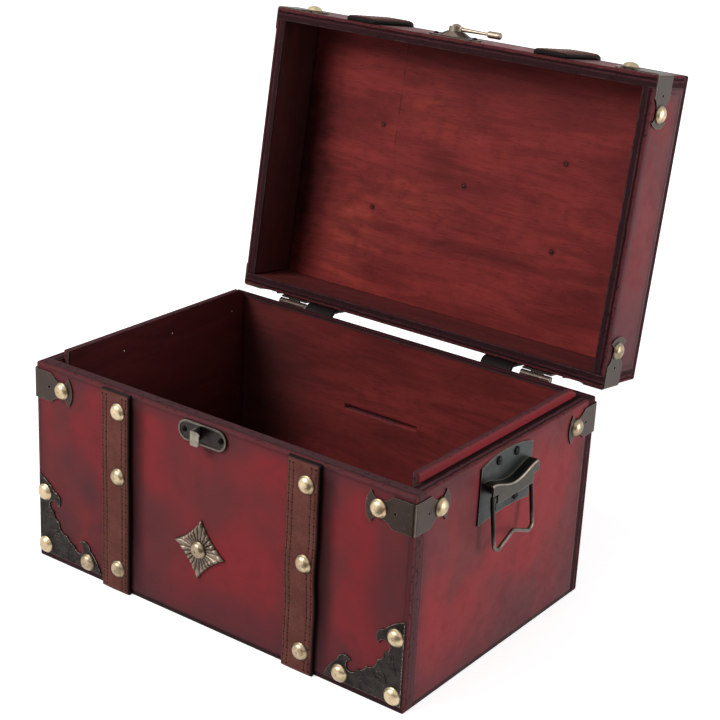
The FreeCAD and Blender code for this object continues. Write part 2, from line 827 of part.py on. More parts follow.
def screws():
    """Domed screws of the hinges, the latch, the catch and the handles."""
    head = screw_head()
    on_base = []
    on_lid = []
    leaf_middle = (hinge_leaf_height + knuckle_radius) / 2
    for side in (-1, 1):
        for shift in (-leaf_screw_spacing / 2, leaf_screw_spacing / 2):
            x = side * hinge_x + shift
            on_base.append(on_back(head, x, axis_z - leaf_middle, hinge_leaf_thickness))
            on_lid.append(on_back(head, x, axis_z + leaf_middle, hinge_leaf_thickness))
        x = latch_x + side * screw_spacing / 2
        on_base.append(on_front(head, x, base_height - catch_drop, sheet))
        on_lid.append(on_front(head, latch_x + side * (screw_spacing / 2 + sheet), lid_rim + latch_rise, sheet))
        for shift, rise in (handle_screw_upper, handle_screw_lower):
            y = handle_y + side * shift
            z = handle_axis_z + rise
            on_base.append(on_right(head, y, z, handle_plate_thickness))
            on_base.append(on_left(head, y, z, handle_plate_thickness))
    return {
        "base_screws": Part.makeCompound(on_base),
        "lid_screws": leaned(Part.makeCompound(on_lid)),
    }


def all_pieces():
    pieces = {}
    for group in (
        base_panels(), lip_boards(), base_straps(), strap_folds(), base_studs(),
        brackets("bracket", base_height - base_bracket_drop, lambda shape: shape),
        front_plates(), rosettes(), catch(), handles(), hinges(), screws(), lid_straps(),
        brackets("lid_bracket", lid_rim + lid_bracket_rise, leaned),
        lid_plates(), lid_studs(), latch(),
    ):
        pieces.update(group)
    for name, panel in lid_panels().items():
        pieces[name] = leaned(panel)
    return pieces


os.makedirs("parts", exist_ok=True)
for node, shape in all_pieces().items():
    shape.exportStep("parts/" + node + ".step")
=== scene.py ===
"""Looks of a trunk-shaped wooden money box: stained boards, sewn straps, nails and aged metal fittings."""
import json
import math
import random
from functools import partialmethod

import bmesh
import bpy
from bpy.props import FloatProperty, FloatVectorProperty, PointerProperty
from mathutils import Euler, Matrix, Vector


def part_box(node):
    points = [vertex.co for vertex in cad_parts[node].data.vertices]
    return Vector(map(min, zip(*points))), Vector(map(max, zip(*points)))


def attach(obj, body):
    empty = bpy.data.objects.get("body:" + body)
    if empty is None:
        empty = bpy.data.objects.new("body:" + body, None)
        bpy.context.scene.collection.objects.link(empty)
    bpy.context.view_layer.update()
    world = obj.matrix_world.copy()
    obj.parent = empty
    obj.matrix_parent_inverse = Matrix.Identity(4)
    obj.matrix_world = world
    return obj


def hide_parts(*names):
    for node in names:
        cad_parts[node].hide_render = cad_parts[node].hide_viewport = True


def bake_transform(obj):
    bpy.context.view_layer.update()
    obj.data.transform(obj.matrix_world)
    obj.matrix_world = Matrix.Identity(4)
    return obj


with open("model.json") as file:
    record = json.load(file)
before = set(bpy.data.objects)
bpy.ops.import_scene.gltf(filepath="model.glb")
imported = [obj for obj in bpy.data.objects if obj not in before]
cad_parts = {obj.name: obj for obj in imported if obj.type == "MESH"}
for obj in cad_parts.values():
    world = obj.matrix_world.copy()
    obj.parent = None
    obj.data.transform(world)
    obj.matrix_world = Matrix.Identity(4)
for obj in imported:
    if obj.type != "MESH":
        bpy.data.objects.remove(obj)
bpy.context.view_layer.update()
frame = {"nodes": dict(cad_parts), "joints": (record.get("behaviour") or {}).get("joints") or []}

bl_info = {
    "name": "Wooden Money Box",
    "version": (1, 0, 0),
    "blender": (4, 5, 0),
    "location": "View3D > Sidebar > Money Box",
    "description": "Dresses the packed money box with its wood, leather and metal, and sets its stage",
    "category": "Object",
}

MM = 0.001
NODES = frame["nodes"]
SIDES = ("left", "right")
CORNERS = ("front_left", "front_right", "back_left", "back_right")
FRONT = Vector((0, -1, 0))
UP = Vector((0, 0, 1))
# Middle of the coin slot in the back wall
SLOT_MIDDLE = Vector((-9.5, 86.2, 72.8)) * MM
# Corners of loose CAD triangles that are closer than this are one
SAME_POINT = 0.002 * MM
# A head faces a direction when it shares more than this of it
SAME_WAY = 0.9


def hinge_turn():
    """Matrix from the shut lid to where the open lid rests, from the frame's own hinge."""
    joint = next(j for j in frame["joints"] if j["name"] == "lid_hinge")
    pivot = Matrix.Translation(joint["pos_m"])
    turn = Matrix.Rotation(-math.radians(joint["range_deg"][1]), 4, Vector(joint["axis"]))
    return pivot @ turn @ pivot.inverted()


LID_OPEN = hinge_turn()
LID_SHUT = LID_OPEN.inverted()
# Body of each half of the box, matrix to its place with the lid shut, and matrix back to where it rests
HALVES = (("base", Matrix(), Matrix()), ("lid", LID_SHUT, LID_OPEN))


def span(points):
    """Lowest and highest corner of the box round some points."""
    low = Vector([min(point[i] for point in points) for i in range(3)])
    high = Vector([max(point[i] for point in points) for i in range(3)])
    return low, high


def local_box(node, to_local):
    """Lowest and highest corner of a CAD node in another frame, such as the shut lid's."""
    return span([to_local @ vert.co for vert in NODES[node].data.vertices])


def rest_box(node):
    """Lowest and highest corner of a CAD node as it rests."""
    low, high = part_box(node)
    return Vector(low), Vector(high)


# Settings that a user would change

def colour(label, about, default):
    return FloatVectorProperty(name=label, description=about, default=(*default, 1.0), subtype="COLOR",
                               size=4, min=0.0, max=1.0)


def distance(label, about, millimetres):
    return FloatProperty(name=label, description=about, default=millimetres * MM, min=0.0, unit="LENGTH",
                         subtype="DISTANCE", precision=5)


def amount(label, about, default):
    return FloatProperty(name=label, description=about, default=default, min=0.0, max=1.0, subtype="FACTOR")


def tilt(label, about, degrees):
    return FloatProperty(name=label, description=about, default=math.radians(degrees), subtype="ANGLE")


def power(label, about, watts):
    return FloatProperty(name=label, description=about, default=watts, min=0.0, unit="POWER", subtype="POWER")


class WoodLook(bpy.types.PropertyGroup):
    """Stain and wear of the boards, with their painted shade and shadows."""
    red: colour("Red stain", "Where the stain lies thin", (0.200, 0.022, 0.026))
    brown: colour("Brown stain", "Where a second coat dulls the red", (0.118, 0.026, 0.028))
    plum: colour("Plum stain", "Where the stain has pooled", (0.070, 0.023, 0.028))
    rim: colour("Rims", "Cut edges of the base's boards", (0.070, 0.030, 0.034))
    lid_rim: colour("Lid rims", "Cut edges of the lid's boards and of the back wall", (0.026, 0.009, 0.011))
    # Burnt edges, and also the painted shadow beside the straps, the painted contact shadow at the foot, the
    # painted shade inside the base and the painted shadow on the lid's panel
    burnt_and_shade: colour("Edges", "Rubbed dark along every edge", (0.013, 0.0035, 0.0045))
    # Painted shade on the inner faces of the lid's walls and of the back wall, and painted shadow on the back
    # wall
    inner_shade: colour("Grime", "Dull film inside the lid's sides and on the back wall", (0.030, 0.020, 0.021))
    # Rubbed arrises, also a painted highlight along the rims' inner edges
    arris_wear_and_highlight: colour("Arrises", "Where the lacquer is rubbed off the corners", (0.105, 0.066, 0.068))
    inside: colour("Inside", "Clear red stain on the inner faces", (0.246, 0.033, 0.029))
    thin: colour("Thin inside", "Where the stain of the inner faces lies thin", (0.480, 0.074, 0.052))
    streak: colour("Inside streaks", "Dark grain on the inner faces", (0.085, 0.012, 0.012))
    edge_band: distance("Edge band", "Width of the rubbed band along the edges", 2.1)
    edge_width: distance("Edge line", "Width of the dark line beside that band", 1.3)
    edge_round: distance("Edge rounding", "Radius that the lacquered edges seem to have", 2.0)
    edge_reach: distance("Edge reach", "How far the dirt of the edges reaches in", 11.0)
    gloss: amount("Roughness", "Roughness of the satin lacquer", 0.38)


class LeatherLook(bpy.types.PropertyGroup):
    """Straps and their stitching."""
    hide: colour("Hide", "Colour of the leather", (0.105, 0.032, 0.024))
    worn: colour("Worn hide", "Paler, where it is rubbed", (0.142, 0.049, 0.039))
    # Also the underside and the needle holes, as painted shade
    cut: colour("Cut edges", "Dark dressing on the cut edges", (0.006, 0.004, 0.0035))
    thread: colour("Thread", "Colour of the stitches", (0.084, 0.027, 0.021))
    crown: distance("Crown", "How far the leather swells between nails", 0.3)
    bend: distance("Bend", "Inner radius of the strap round the lid's edges", 0.9)
    fold: distance("Fold", "Outer radius of the fold behind the hinge", 6.6)
    outer_row: distance("Outer row", "Outer stitch row from the strap's edge", 1.9)
    inner_row: distance("Inner row", "Inner stitch row from the strap's edge", 4.6)
    stitch_pitch: distance("Stitch pitch", "From one needle hole to the next", 4.6)
    stitch_length: distance("Stitch length", "Visible length of a stitch", 3.4)
    thread_width: distance("Thread width", "Thickness of the thread", 0.55)
    needle_hole: distance("Needle hole", "Width of the holes between stitches", 1.3)


class MetalLook(bpy.types.PropertyGroup):
    """Nails, brackets, plates and fittings."""
    brass: colour("Nail brass", "Bright nail heads", (0.600, 0.468, 0.308))
    tarnish: colour("Tarnish", "Brown film on the nails", (0.235, 0.178, 0.100))
    bronze: colour("Bronze", "Brackets, hinges and latch plate", (0.052, 0.037, 0.031))
    plate: colour("Pressed plates", "Corner plates and catch", (0.034, 0.028, 0.026))
    slate: colour("Slate", "Handle plates", (0.036, 0.042, 0.040))
    hood: colour("Hood", "Rubbed front of the handle's hood", (0.046, 0.041, 0.033))
    # Also the painted dark reflection and painted shade on the nails
    black: colour("Black", "Hollows that hands don't reach", (0.008, 0.008, 0.008))
    rubbed: colour("Rubbed metal", "Bare metal on edges and high spots", (0.340, 0.290, 0.235))
    boss: colour("Rosette", "Aged brass of the rosettes and hinge pins", (0.195, 0.147, 0.113))
    arm: colour("Latch arm", "Handled brass of the latch's arm and rivet", (0.260, 0.205, 0.150))
    wire: colour("Bail wire", "Blackened wire of the handles", (0.015, 0.014, 0.012))
    nail_radius: distance("Nail radius", "Half the width of a nail head", 5.5)
    nail_rise: distance("Nail rise", "Height of a nail head", 3.2)
    screw_radius: distance("Screw radius", "Half the width of the handles' screws", 2.6)
    small_screw: distance("Small screw radius", "Half the width of the latch's and catch's screws", 1.6)
    rosette_half: distance("Rosette half width", "From its middle to the line between two tips", 13.0)


class StageLook(bpy.types.PropertyGroup):
    """Camera, light and floor."""
    azimuth: tilt("Azimuth", "Camera to the right of the front", 35.643)
    elevation: tilt("Elevation", "Camera above the horizon", 21.152)
    roll: tilt("Roll", "Camera turned about its view", 2.905)
    place: FloatVectorProperty(name="Place", description="Camera position", subtype="TRANSLATION",
                               default=(0.5567, -0.7326, 0.4945))
    lens: FloatProperty(name="Lens", description="Focal length", default=85.63, min=1.0, unit="CAMERA",
                        subtype="DISTANCE_CAMERA")
    key: power("Key light", "Large lamp left of the front", 31.0)
    fill: power("Fill light", "Low lamp on the right", 23.0)
    top: power("Top light", "Lamp above the front", 2.0)
    sky: amount("Sky", "Strength of the surrounding light", 0.23)
    ground: colour("Floor", "Pale floor", (0.82, 0.82, 0.82))
    card: colour("Card", "Dark card that the metal mirrors", (0.14, 0.10, 0.06))


# Shader building blocks

# Rays that soften an edge, and how deep a surface's relief seems
ROUND_SAMPLES = 6
RELIEF = 0.2 * MM


class Graph:
    """Adds nodes to a tree and links them, so that a material reads as a list of steps."""

    def __init__(self, tree):
        self.tree = tree

    def node(self, kind, **settings):
        made = self.tree.nodes.new(kind)
        for name, value in settings.items():
            setattr(made, name, value)
        return made

    def feed(self, socket, value):
        """Links an output to a socket, or sets the socket to a constant."""
        if isinstance(value, bpy.types.NodeSocket):
            self.tree.links.new(value, socket)
        else:
            socket.default_value = value

    def math(self, operation, first, second=0.0):
        made = self.node("ShaderNodeMath", operation=operation)
        self.feed(made.inputs[0], first)
        self.feed(made.inputs[1], second)
        return made.outputs[0]

    plus = partialmethod(math, "ADD")
    minus = partialmethod(math, "SUBTRACT")
    times = partialmethod(math, "MULTIPLY")
    larger = partialmethod(math, "MAXIMUM")
    size = partialmethod(math, "ABSOLUTE")

    def vector(self, operation, first, second=(0.0, 0.0, 0.0)):
        """Vector, or the plain value of a length or a dot product."""
        made = self.node("ShaderNodeVectorMath", operation=operation)
        self.feed(made.inputs[0], first)
        self.feed(made.inputs[1], second)
        return made.outputs["Value" if operation in ("LENGTH", "DOT_PRODUCT") else "Vector"]

    def split(self, vector):
        made = self.node("ShaderNodeSeparateXYZ")
        self.feed(made.inputs[0], vector)
        return made.outputs

    def noise(self, vector, scale=1.0, detail=2.0, roughness=0.5, distortion=0.0):
        made = self.node("ShaderNodeTexNoise")
        self.feed(made.inputs["Vector"], vector)
        for name, value in (("Scale", scale), ("Detail", detail), ("Roughness", roughness),
                            ("Distortion", distortion)):
            self.feed(made.inputs[name], value)
        return made.outputs["Fac"]

    def cells(self, vector, scale):
        made = self.node("ShaderNodeTexVoronoi")
        self.feed(made.inputs["Vector"], vector)
        self.feed(made.inputs["Scale"], scale)
        return made.outputs["Distance"]

    def spread(self, value, low, high, start=0.0, end=1.0):
        """Smooth step of a value from one range to another."""
        made = self.node("ShaderNodeMapRange", interpolation_type="SMOOTHSTEP")
        for name, given in (("Value", value), ("From Min", low), ("From Max", high),
                            ("To Min", start), ("To Max", end)):
            self.feed(made.inputs[name], given)
        return made.outputs[0]

    def mix(self, factor, first, second):
        """First colour, covered by the second where the factor is one."""
        made = self.node("ShaderNodeMix", data_type="RGBA")
        self.feed(made.inputs[0], factor)
        self.feed(made.inputs[6], first)
        self.feed(made.inputs[7], second)
        return made.outputs[2]

    def rounded(self, radius):
        """Normal of a surface whose edges seem to have a radius."""
        made = self.node("ShaderNodeBevel", samples=ROUND_SAMPLES)
        self.feed(made.inputs["Radius"], radius)
        return made.outputs[0]

    def bump(self, height, strength, normal=None):
        made = self.node("ShaderNodeBump")
        self.feed(made.inputs["Height"], height)
        made.inputs["Strength"].default_value = strength
        made.inputs["Distance"].default_value = RELIEF
        if normal:
            self.feed(made.inputs["Normal"], normal)
        return made.outputs[0]

    def mark(self, name):
        """Value that a piece's own mesh holds."""
        return self.node("ShaderNodeAttribute", attribute_name=name).outputs["Fac"]

    def place(self, to_local=Matrix()):
        """Object coordinates in millimetres, moved to a piece's own frame."""
        coordinates = self.node("ShaderNodeTexCoord")
        mapping = self.node("ShaderNodeMapping")
        self.feed(mapping.inputs["Vector"], coordinates.outputs["Object"])
        mapping.inputs["Location"].default_value = to_local.to_translation() / MM
        mapping.inputs["Rotation"].default_value = to_local.to_euler()
        mapping.inputs["Scale"].default_value = (1 / MM, 1 / MM, 1 / MM)
        return mapping.outputs[0]

    def effect(self, name, **inputs):
        """Outputs of a shared effect with these inputs."""
        made = self.node("ShaderNodeGroup", node_tree=bpy.data.node_groups[name])
        for label, value in inputs.items():
            self.feed(made.inputs[label], value)
        return made.outputs


def board_edge(graph, given):
    """Dark, rubbed and chipped edges of a board's faces, with a rubbed band that is partly a painted
    highlight.
    """
    wood = bpy.context.scene.money_box_wood
    band = wood.edge_band / MM
    width = wood.edge_width / MM
    gap = graph.split(graph.vector("SUBTRACT", given["Half"], graph.vector("ABSOLUTE", given["Point"])))
    pairs = [graph.larger(gap[a], gap[b]) for a, b in ((0, 1), (1, 2), (0, 2))]
    nearest = graph.math("MINIMUM", graph.math("MINIMUM", pairs[0], pairs[1]), pairs[2])
    ragged = graph.plus(nearest, given["Wander"])
    return {
        "Dirt": graph.spread(ragged, band, wood.edge_reach / MM, 1.0, 0.0),
        "Line": graph.times(graph.spread(ragged, band * 0.7, band * 1.1),
                            graph.spread(ragged, band + width * 0.5, band + width * 1.4, 1.0, 0.0)),
        "Chipped": graph.times(given["Chip"], graph.spread(ragged, 0.4, 2.4, 0.4, 0.0)),
        # Rubbed band, partly a painted highlight of the rounded edge
        "Band": graph.spread(ragged, band * 0.5, band, 0.35, 0.0),
        "Inner": graph.spread(ragged, 0.3, 1.8, 0.8, 0.0),
    }


def cut_edge(graph, given):
    """Layers on a board's cut edges, counted from its outer face."""
    wood = bpy.context.scene.money_box_wood
    band = wood.edge_band / MM
    width = wood.edge_width / MM
    broken = graph.spread(given["Streak"], 0.40, 0.60, 0.35, 1.0)
    middle = graph.minus(given["Depth"], graph.times(given["Thick"], 0.5))
    glue = graph.size(graph.plus(middle, graph.times(given["Fibre"], 0.5)))
    out = graph.plus(given["Depth"], given["Wander"])
    back = graph.minus(given["Thick"], out)
    return {
        "Glue": graph.times(graph.spread(glue, 0.35, 0.95, 1.0, 0.0), broken),
        # Painted shade and dirt at the foot of a lip board behind the rim
        "Lining": graph.spread(back, 2.8, 4.2, 0.9, 0.0),
        "Band": graph.spread(out, band * 0.6, band, 0.75, 0.0),
        "Groove": graph.times(graph.spread(out, band * 0.8, band * 1.1),
                              graph.spread(out, band + width * 0.6, band + width, 1.0, 0.0)),
        # Rubbed inner arris, partly a painted highlight
        "Bare": graph.times(graph.spread(back, 0.3, 0.8, 0.7, 0.0), broken),
    }


def stain_pools(graph, given):
    """Where stain has gathered, and small chips in it."""
    tall = graph.vector("MULTIPLY", given["Point"], (1.0, 0.65, 1.0))
    shifted = graph.vector("ADD", tall, (310.0, 170.0, 90.0))
    return {
        "Brown": graph.spread(graph.noise(tall, 0.021, 2.0, 0.5, 0.5), 0.40, 0.62),
        "Plum": graph.spread(graph.noise(shifted, 0.017, 2.5, 0.5, 0.4), 0.52, 0.74),
        "Mottle": graph.noise(given["Point"], 0.11, 3.0, 0.6),
        "Chip": graph.spread(graph.noise(given["Point"], 0.42, 4.0, 0.65), 0.54, 0.64),
    }


def board_grain(graph, given):
    """Grain along X."""
    along, cloud, fibre, pore = (graph.vector("MULTIPLY", given["Point"], scale) for scale in (
        (0.013, 0.085, 0.085), (0.009, 0.030, 0.030), (0.07, 1.1, 1.1), (0.16, 1.7, 1.7)))
    return {
        "Streak": graph.noise(along, 1.0, 5.0, 0.62, 1.1),
        "Cloud": graph.noise(graph.vector("ADD", cloud, (7.3, 2.9, 5.1)), 1.0, 3.0, 0.55, 0.6),
        "Fibre": graph.noise(fibre, 1.0, 3.0, 0.6),
        "Pore": graph.spread(graph.noise(pore, 1.0, 1.0), 0.62, 0.74),
    }


def patina(graph, given):
    """Clouds of tarnish, scratches and pits in metal."""
    drawn = graph.vector("MULTIPLY", given["Point"], (0.5, 3.4, 0.7))
    return {
        "Tarnish": graph.noise(given["Point"], 0.16, 5.0, 0.65),
        "Scratch": graph.spread(graph.noise(drawn, 1.0, 2.0, 0.7, 1.5), 0.60, 0.74),
        "Pit": graph.noise(given["Point"], 0.9, 4.0, 0.6),
    }


def rubbed_edge(graph, given):
    """Edges that hands have rubbed."""
    flat = graph.node("ShaderNodeNewGeometry").outputs["Normal"]
    agree = graph.vector("DOT_PRODUCT", graph.rounded(given["Radius"]), flat)
    return {"Mask": graph.spread(agree, 0.995, 0.86)}


def sheet_bends(graph, given):
    """Faces that look up, and bends in sheet metal round an upright and a level corner."""
    flat = graph.node("ShaderNodeNewGeometry").outputs["Normal"]
    end, _, up = graph.split(graph.vector("ABSOLUTE", flat))
    beside = graph.math("SQRT", graph.minus(1.0, graph.times(end, end)))
    return {
        "Up": up,
        "Corner": graph.spread(graph.times(end, beside), 0.38, 0.47),
        "Shelf": graph.spread(graph.times(end, up), 0.38, 0.47),
    }


def leather_skin(graph, given):
    """Pebbles, shades and creases of the hide."""
    return {
        "Pebble": graph.cells(given["Point"], 1.15),
        "Tone": graph.noise(given["Point"], 0.09, 4.0, 0.6),
        "Crease": graph.noise(given["Point"], 0.55, 3.0, 0.6, 0.8),
    }


# Effects that materials share, each with its inputs
EFFECTS = (
    ("Board edge", board_edge, ("Point", "Half", "Wander", "Chip")),
    ("Cut edge", cut_edge, ("Depth", "Thick", "Wander", "Streak", "Fibre")),
    ("Stain pools", stain_pools, ("Point",)),
    ("Board grain", board_grain, ("Point",)),
    ("Patina", patina, ("Point",)),
    ("Rubbed edge", rubbed_edge, ("Radius",)),
    ("Sheet bends", sheet_bends, ()),
    ("Leather skin", leather_skin, ("Point",)),
)


def build_effects():
    """Makes each effect a shader group of plain values, where Point and Half are vectors."""
    for name, build, inputs in EFFECTS:
        group = bpy.data.node_groups.new(name, "ShaderNodeTree")
        for label in inputs:
            kind = "NodeSocketVector" if label in ("Point", "Half") else "NodeSocketFloat"
            group.interface.new_socket(label, in_out="INPUT", socket_type=kind)
        graph = Graph(group)
        outputs = build(graph, graph.node("NodeGroupInput").outputs)
        for label in outputs:
            group.interface.new_socket(label, in_out="OUTPUT", socket_type="NodeSocketFloat")
        result = graph.node("NodeGroupOutput").inputs
        for label, value in outputs.items():
            graph.feed(result[label], value)


def new_material(name, metallic=0.0):
    """Graph of a new material, and the inputs of its shader."""
    made = bpy.data.materials.new(name)
    made.use_nodes = True
    shader = made.node_tree.nodes["Principled BSDF"].inputs
    shader["Metallic"].default_value = metallic
    return Graph(made.node_tree), shader


class BoardStainAndShade:
    """Stain, wear and painted shade of one plywood board, in millimetres of its own frame with X along the
    grain and Z through it.
    """
    core = ()  # colours of its cut edges, of the glue line in them and of the painted shade inside
    beside = ()  # where straps end, with painted shadow to their right
    spots = ()  # nail tips that come through inside
    seams = ()  # veneer joints inside: place along and reach across
    lined = False  # whether a board stands behind its rim
    mouth = ()  # middle of a slot
    ground_side = 0  # side that stands on the ground, darker towards it, with a painted contact shadow at the foot
    lines = (0.4, 0.3)  # strengths of the dark lines on the rim and beside it
    coat = 0.0  # share of a further dark coat or, below nothing, of a rubbed one
    clouds = ()  # patches that darken or, below nothing, lighten it: middle, half sizes and share; darker ones inside are painted shadow

    def __init__(self, name, to_local, half, inside, shade):
        """The inner face is on the side of Z that inside gives, and shade is the share of painted shade on
        it.
        """
        graph, self.shader = new_material(name)
        self.graph = graph
        self.look = bpy.context.scene.money_box_wood
        self.half = half
        self.inside = inside
        self.shade = shade
        self.point = graph.place(to_local)
        self.along, self.across, self.depth = graph.split(self.point)
        self.grain = graph.effect("Board grain", Point=self.point)
        self.pools = graph.effect("Stain pools", Point=self.point)
        self.wander = graph.times(graph.minus(self.pools["Mottle"], 0.5), 2.0)
        self.edge = graph.effect("Board edge", Point=self.point, Half=half, Wander=self.wander,
                                 Chip=self.pools["Chip"])

    def patches(self):
        """Mask and share of each cloud, at any depth."""
        graph = self.graph
        found = []
        for middle, reach, share in self.clouds:
            off = graph.vector("DIVIDE", graph.vector("SUBTRACT", self.point, middle), (*reach, 1000.0))
            far = graph.plus(graph.vector("LENGTH", off), graph.minus(self.pools["Mottle"], 0.5))
            found.append((graph.spread(far, 0.1, 1.3, abs(share), 0.0), share))
        return found

    def outer(self, patches):
        """Outer face: coats of stain, painted shadow beside the straps, darker towards the ground with a
        painted contact shadow at its foot, and rubbed edges that are partly a painted highlight.
        """
        graph, look, pools, edge = self.graph, self.look, self.pools, self.edge
        foot = self.half[1]
        tone = graph.mix(graph.times(pools["Brown"], 0.85), look.red, look.brown)
        tone = graph.mix(graph.times(pools["Plum"], 0.6), tone, look.plum)
        tone = graph.mix(graph.spread(pools["Mottle"], 0.48, 0.72, 0.0, 0.25), tone, look.plum)
        if self.coat:
            tone = graph.mix(abs(self.coat), tone, look.brown if self.coat > 0 else look.red)
            tone = graph.mix(max(0.0, self.coat) * 0.6, tone, look.plum)
        # Painted shadow to the right of each strap
        for place in self.beside:
            gap = graph.size(graph.minus(self.along, place + 1.0))
            tone = graph.mix(graph.spread(gap, 1.0, 13.0, 0.9, 0.0), tone, look.burnt_and_shade)
        # Darker towards the ground
        if self.ground_side:
            low = graph.plus(graph.times(self.across, self.ground_side), graph.times(pools["Mottle"], 24.0))
            tone = graph.mix(graph.spread(low, foot - 32.0, foot + 10.0, 0.0, 0.6), tone, look.plum)
        for here, share in patches:
            tone = graph.mix(here, tone, look.plum if share > 0 else look.red)
        tone = graph.mix(graph.times(edge["Dirt"], min(0.55, 2 * self.lines[1])), tone, look.plum)
        tone = graph.mix(graph.times(edge["Line"], self.lines[1]), tone, look.burnt_and_shade)
        tone = graph.mix(edge["Chipped"], tone, look.burnt_and_shade)
        # Rubbed band along the edges, partly a painted highlight of their rounding
        tone = graph.mix(edge["Band"], tone, self.core[0])
        # Burnt edge with a painted contact shadow along the foot
        if self.ground_side:
            low = graph.plus(graph.times(self.across, self.ground_side), self.wander)
            tone = graph.mix(graph.spread(low, foot - 4.4, foot - 2.2, 0.0, 0.9), tone, look.burnt_and_shade)
        return tone

    def inner(self, patches):
        """Inner face: clear stain over the grain, with veneer joints, nail spots, painted shadow of the walls
        and painted shade.
        """
        graph, look, grain, pools = self.graph, self.look, self.grain, self.pools
        tone = look.inside
        shadow = 0.0
        for here, share in patches:
            if share > 0:
                shadow = graph.larger(shadow, here)
            else:
                tone = graph.mix(here, tone, look.thin)
        tone = graph.mix(graph.spread(grain["Streak"], 0.34, 0.70, 0.0, 0.60), tone, look.streak)
        tone = graph.mix(graph.spread(grain["Cloud"], 0.40, 0.66, 0.0, 0.55), tone, look.streak)
        tone = graph.mix(graph.spread(grain["Fibre"], 0.42, 0.70, 0.0, 0.28), tone, look.streak)
        tone = graph.mix(graph.times(grain["Pore"], 0.4), tone, look.burnt_and_shade)
        tone = graph.mix(graph.spread(pools["Mottle"], 0.46, 0.76, 0.0, 0.36), tone, look.streak)
        # Painted shadow that the walls cast on the inner face
        if patches:
            tone = graph.mix(shadow, tone, self.core[2])
        for place, reach in self.seams:
            off = graph.minus(self.along, place)
            here = graph.spread(self.across, reach - 6.0, reach + 6.0, 1.0, 0.0)
            strip = graph.times(graph.spread(off, -0.3, 0.3, 0.0, 0.14), here)
            tone = graph.mix(strip, tone, look.streak)
            line = graph.times(graph.spread(graph.size(off), 0.2, 0.7, 0.5, 0.0),
                               graph.spread(pools["Mottle"], 0.42, 0.60))
            tone = graph.mix(graph.times(line, here), tone, look.burnt_and_shade)
        for spot in self.spots:
            flat = graph.vector("MULTIPLY", graph.vector("SUBTRACT", self.point, spot), (1.0, 1.0, 0.0))
            ragged = graph.plus(graph.vector("LENGTH", flat), graph.times(pools["Mottle"], 3.0))
            tone = graph.mix(graph.spread(ragged, 2.0, 4.8, 0.9, 0.0), tone, look.burnt_and_shade)
        # Painted shade inside the box
        if self.shade:
            tone = graph.mix(self.shade, tone, self.core[2])
        return graph.mix(self.edge["Inner"], tone, look.burnt_and_shade)

    def rim(self):
        """Cut edges: core with a glue line or, with a lip board behind, painted shade and dirt at its foot,
        rubbed arrises that are partly a painted highlight, and the sill of a slot with painted light on its
        right part.
        """
        graph, look, grain = self.graph, self.look, self.grain
        from_face = graph.plus(graph.times(self.depth, self.inside), self.half[2])
        cut = graph.effect("Cut edge", Depth=from_face, Thick=self.half[2] * 2, Wander=self.wander,
                           Streak=grain["Streak"], Fibre=grain["Fibre"])
        if self.lined:
            # Painted shade and dirt where the lip board stands behind the rim
            tone = graph.mix(cut["Lining"], self.core[0], look.burnt_and_shade)
        else:
            tone = graph.mix(cut["Glue"], self.core[0], self.core[1])
        tone = graph.mix(cut["Band"], tone, look.brown)
        tone = graph.mix(graph.times(cut["Groove"], self.lines[0]), tone, look.burnt_and_shade)
        tone = graph.mix(cut["Bare"], tone, look.arris_wear_and_highlight)
        tone = graph.mix(graph.times(self.pools["Chip"], 0.6), tone, look.burnt_and_shade)
        if self.mouth:
            place, level = self.mouth
            beside = graph.size(graph.minus(self.along, place))
            above = graph.size(graph.minus(self.across, level))
            far = graph.larger(beside, graph.times(above, 8.0))
            # Painted light on the right part of the slot's sill, dark brown on its left
            sill = graph.mix(graph.spread(self.along, place + 8.0, place + 24.0), look.brown, look.inside)
            tone = graph.mix(graph.spread(far, 30.0, 34.0, 1.0, 0.0), tone, sill)
        return tone

    def lay(self):
        """Joins the faces and the cut edges under satin lacquer; bare wood is rough."""
        graph, look, shader, face = self.graph, self.look, self.shader, self.half[2]
        patches = self.patches()
        facing_in = graph.spread(graph.times(self.depth, self.inside), face - 0.35, face - 0.1)
        skin = graph.spread(graph.size(self.depth), face - 0.45, face - 0.15)
        tone = graph.mix(facing_in, self.outer(patches), self.inner(patches))
        graph.feed(shader["Base Color"], graph.mix(skin, self.rim(), tone))

        bare = 0.85
        satin = graph.spread(self.pools["Mottle"], 0.3, 0.7, look.gloss, look.gloss + 0.14)
        graph.feed(shader["Roughness"], graph.minus(bare, graph.times(skin, graph.minus(bare, satin))))
        shader["Specular IOR Level"].default_value = 0.06
        height = graph.minus(self.grain["Fibre"], graph.times(self.grain["Pore"], 0.8))
        graph.feed(shader["Normal"], graph.bump(height, 0.08, graph.rounded(look.edge_round)))


